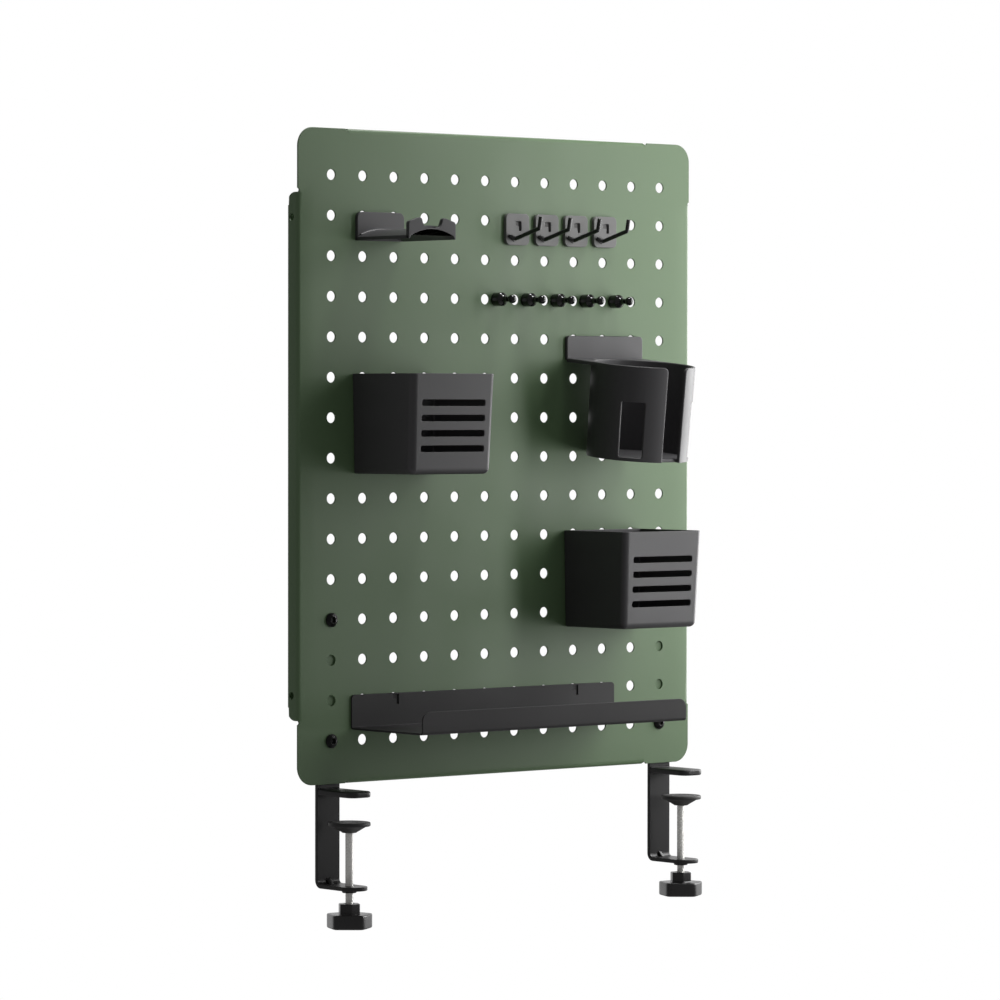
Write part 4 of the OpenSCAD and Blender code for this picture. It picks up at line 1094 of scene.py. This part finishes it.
CUP_RADIUS = 40.25
CUP_FLOOR_RADIUS = 39.25
CUP_HEIGHT = 73
CUP_WALL = 2.5
CUP_FLOOR = 3
CUP_TILT = math.radians(5.5)
CUP_REACH = 47
CUP_EDGE = 0.8
CUP_GAP = 9
CUP_GAP_ROUND = 4
CUP_NOTCH = 5
WINDOW_HALF = 9.5
WINDOW_TURN = 51
WINDOW_TOP = -27.5
DECK_HALF = 39
DECK_BACK = 45.5
BACK_PLATE = 3
BACK_PLATE_DROP = 18.5
BACK_PLATE_ROUND = 3
BACK_PLATE_SPARE = 0.4
DECK_DROP = 17
CUP_PEG_DROP = 3
CUP_GAP_STEPS = 8
CUP_TURN = 3
WINDOW_ROUND = 1.2
WALL_BITE = 0.4
UNDER_FLOOR = 0.1
OVER_DECK = 0.02
FLOOR_STEPS = 60
HOLLOW_SIDES = 120

low, high = box_of("cup_holder")
cup_x = (low.x + high.x) / 2
cup_rim = high.z - DECK_DROP - CUP_REACH * math.tan(CUP_TILT)
degree = math.radians(1) * CUP_RADIUS
ring = 360 * degree
wall = Skin()
outline = rounded(oblong(CUP_GAP, -CUP_HEIGHT, ring - CUP_GAP, 0), [0, 0, CUP_GAP_ROUND, CUP_GAP_ROUND],
                  CUP_GAP_STEPS)
prism(wall, outline, (0, CUP_WALL), frontways)
windows = Skin()
for spot in (WINDOW_TURN * degree, ring - WINDOW_TURN * degree):
    outline = rounded(oblong(spot - WINDOW_HALF, CUP_FLOOR - CUP_HEIGHT, spot + WINDOW_HALF, WINDOW_TOP),
                      [WINDOW_ROUND] * 4)
    prism(windows, outline, (-CUP_WALL, 2 * CUP_WALL), frontways)
flat_wall = softened(carved(wall.mesh("wall"), windows), CUP_EDGE)
# The flat wall is cut into narrow strips and bent round the cup's axis.
work = bmesh.new()
work.from_mesh(flat_wall)
for turn in range(CUP_TURN, 360, CUP_TURN):
    parts = work.verts[:] + work.edges[:] + work.faces[:]
    bmesh.ops.bisect_plane(work, geom=parts, plane_co=(turn * degree * MILLIMETRE, 0, 0), plane_no=(1, 0, 0),
                           dist=MERGE_DISTANCE)
for vertex in work.verts:
    u, depth, v = vertex.co / MILLIMETRE
    radius = CUP_RADIUS + (CUP_FLOOR_RADIUS - CUP_RADIUS) * -v / CUP_HEIGHT - depth
    turn = u / degree * math.radians(1)
    vertex.co = Vector((radius * math.sin(turn), -radius * math.cos(turn), v)) * MILLIMETRE
work.to_mesh(flat_wall)
work.free()
floor_radius = CUP_FLOOR_RADIUS - CUP_WALL + WALL_BITE
notch_turn = math.degrees(math.asin(CUP_GAP / floor_radius))
notch_back = -CUP_FLOOR_RADIUS + CUP_NOTCH
plates = Skin()
outline = arc((0, 0), floor_radius, notch_turn - 90, 270 - notch_turn, FLOOR_STEPS)
outline += [(-CUP_GAP, notch_back), (CUP_GAP, notch_back)]
prism(plates, outline, (UNDER_FLOOR - CUP_HEIGHT, CUP_FLOOR - CUP_HEIGHT), flatways)
deck = Skin()
prism(deck, oblong(DECK_HALF, 0, -DECK_HALF, DECK_BACK), (-BACK_PLATE, OVER_DECK), flatways)
hollow = Skin()
outline = circle((0, 0), CUP_RADIUS - CUP_WALL / 2 - WALL_BITE, HOLLOW_SIDES)
prism(hollow, outline, (-CUP_HEIGHT, CUP_FLOOR), flatways)
leaning = Skin()
leaning.take(flat_wall)
leaning.take(softened(plates.mesh("plates"), CUP_EDGE))
leaning.take(carved(softened(deck.mesh("deck"), CUP_EDGE), hollow))
lean = Matrix.Translation((cup_x, front - CUP_REACH, cup_rim)) @ Matrix.Rotation(CUP_TILT, 4, "X")
leaning.points = [tuple(lean @ Vector(point)) for point in leaning.points]
upright = Skin()
plate_half = DECK_HALF + BACK_PLATE_SPARE
outline = rounded(oblong(-plate_half, high.z - BACK_PLATE_DROP, plate_half, high.z),
                  [0, 0, BACK_PLATE_ROUND, BACK_PLATE_ROUND])
prism(upright, outline, (front - SEAT_GAP - BACK_PLATE, front - SEAT_GAP),
      lambda u, v, depth: (cup_x + u, depth, v))
leaning.take(softened(upright.mesh("upright"), CUP_EDGE))
for i in (-1, 0, 1):
    add_peg(leaning, cup_x + i * HOLE_PITCH, high.z - CUP_PEG_DROP, SEAT_GAP + BACK_PLATE / 2)
cup = piece("cup_shell", leaning.mesh("cup"), charcoal, even=True)
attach(cup, "cup_holder")
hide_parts("cup_holder")

# Tray
# A long channel folded from 1.5 mm steel sheet, powder coated in fine-textured charcoal.
# It hangs on two tabs that are cut and folded from its back.

TRAY_EDGE = 0.3
TRAY_GREY = "#2c2b2c"
TRAY_GREY_WORN = "#555455"

tray_coat = finish_of("tray_coat", TRAY_GREY, TRAY_GREY_WORN, roughness=0.6, grain_size=0.0006, depth=0.00005,
                      drift=0.1, wear=0.5, constants={"Specular IOR Level": 0.3})
tray = piece("tray_channel", solid_of("tray"), tray_coat, edge=TRAY_EDGE, sharp=50)
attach(tray, "tray")
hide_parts("tray")

# Headset hanger
# An arched saddle runs forward from a back plate and ends in two ears that keep the headband on it.
# It is one moulding in charcoal plastic with two hooked pegs.

HANGER_EDGE = 0.4
HANGER_PLATE = 3
HANGER_TOP = 3.1
SADDLE_THICKNESS = 2.5
SADDLE_RISE = 5.6
EAR_THICKNESS = 3.6
EAR_GAP = 19
EAR_HEIGHT = 16.5
EAR_FALL = 4
EAR_ROUND = 2.5
VALLEY_ROUND = 6
HANGER_ROUND = 4.5
ARCH_STEPS = 32
SADDLE_INSET = 0.6
SADDLE_SINK = 1
FILLET = 2
FILLET_SINK = 0.4
FILLET_STEPS = 6
FILLET_TURN = 24
FILLET_SPACING = 2
THIN_START = 9
THIN_STEPS = 8
FRONT_THICKNESS = 0.9

low, high = box_of("headset_hanger")
hanger_x = (low.x + high.x) / 2
half = (high.x - low.x) / 2
foot = half - SADDLE_THICKNESS / 3
arch_radius = (foot * foot + SADDLE_RISE * SADDLE_RISE) / (2 * SADDLE_RISE)
arch_middle = SADDLE_RISE - arch_radius
foot_turn = math.degrees(math.asin(foot / arch_radius))
over_turn = math.degrees(math.asin(half / (arch_radius + SADDLE_THICKNESS)))
under = arc((0, arch_middle), arch_radius, 90 + foot_turn, 90 - foot_turn, ARCH_STEPS)
over = arc((0, arch_middle), arch_radius + SADDLE_THICKNESS, 90 - over_turn, 90 + over_turn, ARCH_STEPS)


def hanging(u, v, depth):
    """Place of a point of the hanger's outlines at a depth."""
    return (hanger_x + u, depth, low.z + v)


parts = Skin()
back_face = front - SEAT_GAP
height = high.z - low.z
outline = rounded(oblong(-half, 0, half, height), [0, 0, HANGER_ROUND, HANGER_ROUND])
prism(parts, outline, (back_face - HANGER_PLATE, back_face), hanging)
# The saddle thins towards its front edge.
rows = []
for step in range(THIN_STEPS + 1):
    share = step / THIN_STEPS
    thinned = (SADDLE_THICKNESS - FRONT_THICKNESS) * share * share
    lifted = [(u * (1 + thinned / arch_radius), v + thinned) if v > 0 else (u, v) for u, v in under[1:-1]]
    depth = low.y + SADDLE_INSET + THIN_START * (1 - share)
    section = [(-half, 0), under[0], *lifted, under[-1], (half, 0), *over]
    rows.append([hanging(u, v, depth) for u, v in section])
rows.insert(0, [(x, back_face - SADDLE_SINK, z) for x, y, z in rows[0]])
parts.strip(rows, closed=True)
parts.face(rows[0])
parts.face(rows[-1])
valley = SADDLE_RISE + SADDLE_THICKNESS
ear_side = EAR_HEIGHT - EAR_FALL
gap = EAR_GAP / 2
ears = rounded([(half, 0), (half, ear_side), (gap, EAR_HEIGHT), (gap, valley),
                (-gap, valley), (-gap, EAR_HEIGHT), (-half, ear_side), (-half, 0)],
               [0, EAR_ROUND, EAR_ROUND, VALLEY_ROUND, VALLEY_ROUND, EAR_ROUND, EAR_ROUND, 0])
lifted = [(u, v + SADDLE_THICKNESS - FRONT_THICKNESS) for u, v in under[1:-1]]
prism(parts, [under[0], *lifted, under[-1], *ears], (low.y, low.y + EAR_THICKNESS), hanging)
hanger_skin = Skin()
hanger_skin.take(softened(parts.mesh("parts"), HANGER_EDGE, steps=3, sharp=40))
for seat, way in ((back_face - HANGER_PLATE, -1), (low.y + EAR_THICKNESS, 1)):
    section = [(-FILLET_SINK, -FILLET_SINK)] + arc((FILLET, FILLET), FILLET, 180, 270, FILLET_STEPS)
    rows = []
    for turn in range(-FILLET_TURN, FILLET_TURN + 1, FILLET_SPACING):
        lean = math.radians(turn)
        rows.append([hanging((arch_radius + SADDLE_THICKNESS + rise) * math.sin(lean),
                             arch_middle + (arch_radius + SADDLE_THICKNESS + rise) * math.cos(lean),
                             seat + way * depth) for rise, depth in section])
    hanger_skin.strip(rows, closed=True)
    hanger_skin.face(rows[0])
    hanger_skin.face(rows[-1])
for i in (-1, 1):
    add_peg(hanger_skin, hanger_x + i * HOLE_PITCH / 2, high.z - HANGER_TOP, SEAT_GAP + HANGER_PLATE / 2)
hanger = piece("hanger_saddle", hanger_skin.mesh("hanger"), charcoal, even=True)
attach(hanger, "headset_hanger")
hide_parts("headset_hanger")

# Hooks
# Four steel plates in grey powder coat each carry a bent 3.2 mm wire, welded on and dipped in black.
# A tab folded from each plate hooks into the board behind an angled pocket.

HOOK_COUNT = 4
HOOK_EDGE = 0.4
HOOK_ROUND = 4
HOOK_TOP = 5.7
HOOK_PLATE = 3
POCKET_WIDTH = 6
POCKET_HEIGHT = 7.5
POCKET_BAR = 3.6
POCKET_DEPTH = 2
POCKET_ROUND = 0.8
POCKET_ELBOW = 0.6
POCKET_CUT = 5
TAB_LEFT = -2.375
TAB_WIDTH = 1.5
TAB_LOW = -2.97
WIRE_RADIUS = 1.6
WIRE_SIDES = 20
WIRE_BEND = 4
WIRE_ELBOW = 2.2
ROOT_LENGTH = 7.05
ROOT_ANGLE = 65
ARM_LENGTH = 32
ARM_SLOPE = 10
TIP_LENGTH = 11.5
WIRE_END = 0.6
WIRE_END_STEPS = 4
HOOK_BEAD = 0.8
HOOK_BEAD_FLATNESS = 0.8
HOOK_WELD_BACK = 0.8
HOOK_WELD_DROP = 0.8
HOOK_WELD_ENDS = (0.5, -0.6)
HOOK_GREY = "#5a5a59"
HOOK_GREY_WORN = "#8a8a88"
WIRE_BLACK = "#131313"
WIRE_BLACK_WORN = "#3a3a3a"

hook_coat = finish_of("hook_coat", HOOK_GREY, HOOK_GREY_WORN, roughness=0.5, grain_size=0.0005, depth=0.00003,
                      drift=0.1, wear=0.5)
lacquer = finish_of("lacquer", WIRE_BLACK, WIRE_BLACK_WORN, roughness=0.3, grain_size=0.0008, depth=0.00001,
                    drift=0.1, wear=0.2)


def rounded_path(points, radii, steps=8):
    """Path through points whose inner corners are rounded by arcs of these radii."""
    path = [Vector(points[0])]
    for before, corner, after, radius in zip(points, points[1:], points[2:], radii):
        corner = Vector(corner)
        a = (Vector(before) - corner).normalized()
        b = (Vector(after) - corner).normalized()
        half = a.angle(b) / 2
        middle = corner + (a + b).normalized() * radius / math.sin(half)
        first = corner + a * radius / math.tan(half)
        last = corner + b * radius / math.tan(half)
        for i in range(steps + 1):
            path.append(middle + (first - middle).slerp(last - middle, i / steps))
    path.append(Vector(points[-1]))
    return path


def wire(skin, path, radius, end_round=WIRE_END, sides=WIRE_SIDES):
    """Round wire along a path, with rounded ends."""
    runs = [(b - a).normalized() for a, b in zip(path, path[1:])]
    side = runs[0].orthogonal().normalized()
    rings = []
    for i, spot in enumerate(path):
        run = (runs[max(i - 1, 0)] + runs[min(i, len(runs) - 1)]).normalized()
        side = (side - run * side.dot(run)).normalized()
        across = run.cross(side)
        steps = [(radius, 0)]
        cap = arc((radius - end_round, end_round), end_round, 0, -90, WIRE_END_STEPS)
        if i == 0:
            steps = [(0, 0), *cap[::-1]]
        if i == len(path) - 1:
            steps = [(size, -shift) for size, shift in cap] + [(0, 0)]
        for size, shift in steps:
            rings.append([spot + run * shift + (side * math.cos(a) + across * math.sin(a)) * size
                          for a in (2 * math.pi * k / sides for k in range(sides))])
    skin.strip(rings, closed=True)


for number in range(1, HOOK_COUNT + 1):
    body = f"hook_{number}"
    low, high = box_of(f"hook_plate_{number}")
    middle = (low.x + high.x) / 2
    hole_z = high.z - HOOK_TOP
    face = low.y
    solid = Skin()
    outline = rounded(oblong(low.x, low.z, high.x, high.z), [HOOK_ROUND] * 4)
    prism(solid, outline, (face, face + HOOK_PLATE), frontways)
    pocket = Skin()
    left = middle + TAB_LEFT
    right = left + POCKET_WIDTH
    inner = left + POCKET_BAR
    outline = rounded([(left, hole_z), (left, hole_z - POCKET_BAR), (inner, hole_z - POCKET_BAR),
                       (inner, hole_z - POCKET_HEIGHT), (right, hole_z - POCKET_HEIGHT), (right, hole_z)],
                      [POCKET_ROUND, POCKET_ROUND, POCKET_ELBOW, POCKET_ROUND, POCKET_ROUND, POCKET_ROUND])
    prism(pocket, outline, (face - POCKET_CUT, face + POCKET_DEPTH), frontways)
    plate_skin = Skin()
    plate_skin.take(softened(carved(solid.mesh("solid"), pocket), HOOK_EDGE))
    add_peg(plate_skin, left + TAB_WIDTH / 2, hole_z, SEAT_GAP + HOOK_PLATE / 4, TAB_WIDTH / 2, TAB_LOW)
    plate = piece(f"hook_plate_shell_{number}", plate_skin.mesh("plate"), hook_coat, even=True)
    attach(plate, body)
    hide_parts(f"hook_plate_{number}")
    wire_low, wire_high = box_of(f"hook_wire_{number}")
    face = wire_high.y
    elbow = Vector((wire_high.x - WIRE_RADIUS, face - WIRE_RADIUS, wire_low.z + WIRE_RADIUS))
    lean = math.radians(ROOT_ANGLE)
    slope = math.radians(ARM_SLOPE)
    root = elbow + Vector((-math.sin(lean), 0, math.cos(lean))) * ROOT_LENGTH
    along = Vector((0, -math.cos(slope), math.sin(slope)))
    upward = Vector((0, math.sin(slope), math.cos(slope)))
    knee = elbow + along * ARM_LENGTH
    tip = knee + upward * TIP_LENGTH
    skin = Skin()
    wire(skin, rounded_path([root, elbow, knee, tip], [WIRE_ELBOW, WIRE_BEND]), WIRE_RADIUS)
    bent = piece(f"hook_rod_{number}", skin.mesh("rod"), lacquer, sharp=50)
    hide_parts(f"hook_wire_{number}")
    path = [spot + Vector((shift, WIRE_RADIUS * HOOK_WELD_BACK, -HOOK_WELD_DROP))
            for spot, shift in zip((root, elbow), HOOK_WELD_ENDS)]
    seams = weld(f"hook_weld_{number}", path, lacquer, HOOK_BEAD, HOOK_BEAD, HOOK_BEAD_FLATNESS)
    for made in (bent, seams):
        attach(made, body)

# Magnet pins
# Five turned pins in black gloss plastic, each with a shouldered body, a neck and a ball to grip,
# hold to the board by a nickel-plated magnet that is pressed into the base.

PIN_COUNT = 5
PIN_SIDES = 64
PIN_RADIUS = 5.15
PIN_BODY = 9.5
PIN_NECK = 2.1
PIN_BALL = 3.3
PIN_REACH = 19
PIN_ROUND = 0.8
PIN_FOOT = 0.3
PIN_BLEND = 0.3
PIN_CREST = 0.1
PIN_CREST_TURN = 65
PIN_STEPS = (3, 4, 3)
PIN_TAPER = ((0.6, 0.6), (0.15, 0.95), (0, 1.6))
PIN_BALL_STEPS = 16
MAGNET_PLAY = 0.05
MAGNET_CHAMFER = 0.3
MAGNET_RADIUS = 4
MAGNET_HEIGHT = 3
GLOSS_BLACK = "#0c0c0c"
GLOSS_BLACK_WORN = "#262626"
NICKEL = "#b9b6b0"
NICKEL_BRIGHT = "#e6e4e0"

gloss = finish_of("gloss", GLOSS_BLACK, GLOSS_BLACK_WORN, roughness=0.16, grain_size=0.002, depth=0.000005,
                  drift=0.1, wear=0.1, gloss_spread=0.04)
nickel = finish_of("nickel", NICKEL, NICKEL_BRIGHT, roughness=0.25, grain_size=0.001, depth=0.000004,
                   drift=0.1, wear=0.3, constants={"Metallic": 1.0})
shoulder = PIN_RADIUS / 3
seat = MAGNET_RADIUS + MAGNET_PLAY
pin_profile = [(0, MAGNET_HEIGHT + MAGNET_PLAY), (seat, MAGNET_HEIGHT + MAGNET_PLAY), (seat, 0)]
pin_profile += arc((PIN_RADIUS - PIN_FOOT, PIN_FOOT), PIN_FOOT, -90, 0, PIN_STEPS[0])
pin_profile += arc((PIN_RADIUS - PIN_ROUND, PIN_BODY - shoulder - PIN_BLEND), PIN_ROUND, 0, 45, PIN_STEPS[1])
pin_profile += arc((PIN_RADIUS - shoulder - PIN_ROUND + PIN_BLEND, PIN_BODY - PIN_ROUND + PIN_CREST),
                   PIN_ROUND, 45, PIN_CREST_TURN, PIN_STEPS[2])
pin_profile += [(PIN_NECK + wider, PIN_BODY + shoulder * share) for wider, share in PIN_TAPER]
low_turn = math.degrees(math.asin(PIN_NECK / PIN_BALL))
pin_profile += arc((0, PIN_REACH), PIN_BALL, low_turn - 90, 90, PIN_BALL_STEPS)
disc_profile = [(0, 0), (MAGNET_RADIUS - MAGNET_CHAMFER, 0), (MAGNET_RADIUS, MAGNET_CHAMFER),
                (MAGNET_RADIUS, MAGNET_HEIGHT - MAGNET_CHAMFER),
                (MAGNET_RADIUS - MAGNET_CHAMFER, MAGNET_HEIGHT), (0, MAGNET_HEIGHT)]
for number in range(1, PIN_COUNT + 1):
    low, high = box_of(f"pin_body_{number}")
    middle = ((low.x + high.x) / 2, high.y, (low.z + high.z) / 2)
    pin = turned(f"pin_shell_{number}", pin_profile, middle, gloss, sides=PIN_SIDES, axis="front", sharp=50)
    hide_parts(f"pin_body_{number}")
    disc = turned(f"pin_disc_{number}", disc_profile, middle, nickel, axis="front")
    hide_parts(f"pin_magnet_{number}")
    for made in (pin, disc):
        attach(made, f"pin_{number}")

# Floor and light
# The board stands on a desk that isn't shown, so the pale floor lies a desk's height below it.
# A tall strip light stands in front on the right, a wide soft box beside the board lights its right
# edge, and a weak one hangs above.

FLOOR_DROP = 0.75
FLOOR_SIZE = 5
FLOOR_TONE = "#f2f2f2"
FLOOR_ROUGHNESS = 0.8
FLOOR_DRIFT = 0.02
FLOOR_LIFT = 0.6
STRIP_PLACE = (0.33, -0.38, 0.36)
STRIP_AIM = (0.32, 0.0, 0.34)
STRIP_SIZE = (0.10, 0.7)
STRIP_POWER = 2.1
BOX_PLACE = (0.75, -0.12, 0.385)
BOX_AIM = (0.0, -0.05, 0.355)
BOX_SIZE = (0.45, 0.85)
BOX_POWER = 9.3
TOP_PLACE = (0.12, -0.07, 1.0)
TOP_AIM = (0.08, -0.06, 0.30)
TOP_SIZE = (0.25, 0.12)
TOP_POWER = 4.0
BACKDROP_EDGES = (0.45, 0.8)
FILL_STRENGTH = 0.22

floor_skin = Skin()
half = FLOOR_SIZE / 2 / MILLIMETRE
drop = -FLOOR_DROP / MILLIMETRE
floor_skin.face([(x, y, drop) for x, y in oblong(-half, -half, half, half)])
pale = bpy.data.materials.new("pale_floor")
pale.use_nodes = True
tree = pale.node_tree
shader = tree.nodes["Principled BSDF"]
shader.inputs["Roughness"].default_value = FLOOR_ROUGHNESS
drifted = add(tree, "ShaderNodeGroup", {"node_tree": tone_drift}, Colour=linear(FLOOR_TONE),
              Amount=FLOOR_DRIFT)
tree.links.new(drifted.outputs["Colour"], shader.inputs["Base Color"])
# The camera sees the floor paler than it lights, and the object's shadow stays on it.
shader.inputs["Emission Color"].default_value = (1, 1, 1, 1)
lifted = maths(tree, "MULTIPLY", add(tree, "ShaderNodeLightPath").outputs["Is Camera Ray"], FLOOR_LIFT)
tree.links.new(lifted, shader.inputs["Emission Strength"])
floor = piece("floor", floor_skin.mesh("floor", facing=(0, 0, 1)), pale)


def soft_light(name, place, aim, size, power):
    """Rectangular light, its second size upright, that faces a point."""
    lamp = bpy.data.lights.new(name, "AREA")
    lamp.shape = "RECTANGLE"
    lamp.size, lamp.size_y = size
    lamp.energy = power
    made = bpy.data.objects.new(name, lamp)
    bpy.context.scene.collection.objects.link(made)
    made.location = place
    made.rotation_euler = (Vector(aim) - Vector(place)).to_track_quat("-Z", "Y").to_euler()


soft_light("strip", STRIP_PLACE, STRIP_AIM, STRIP_SIZE, STRIP_POWER)
soft_light("box", BOX_PLACE, BOX_AIM, BOX_SIZE, BOX_POWER)
soft_light("top", TOP_PLACE, TOP_AIM, TOP_SIZE, TOP_POWER)

world = bpy.data.worlds.new("studio")
bpy.context.scene.world = world
world.use_nodes = True
tree = world.node_tree
tree.nodes.clear()
path = add(tree, "ShaderNodeLightPath").outputs
seen = maths(tree, "MAXIMUM", path["Is Camera Ray"], path["Is Transmission Ray"])
# The white backdrop stands behind the board, so that only what faces it mirrors it.
heading = add(tree, "ShaderNodeVectorMath", {"operation": "DOT_PRODUCT"},
              _0=add(tree, "ShaderNodeTexCoord").outputs["Generated"], _1=forward).outputs["Value"]
backdrop = add(tree, "ShaderNodeMapRange", {"interpolation_type": "SMOOTHSTEP"}, Value=heading,
               From_Min=BACKDROP_EDGES[0], From_Max=BACKDROP_EDGES[1]).outputs[0]
seen = maths(tree, "MAXIMUM", seen, maths(tree, "MULTIPLY", backdrop, path["Is Glossy Ray"]))
dim = add(tree, "ShaderNodeBackground", Color=(1, 1, 1, 1), Strength=FILL_STRENGTH).outputs[0]
white = add(tree, "ShaderNodeBackground", Color=(1, 1, 1, 1), Strength=1.0).outputs[0]
mixed = add(tree, "ShaderNodeMixShader", _0=seen, _1=dim, _2=white).outputs[0]
add(tree, "ShaderNodeOutputWorld", Surface=mixed)
bpy.context.scene.view_settings.view_transform = "Standard"
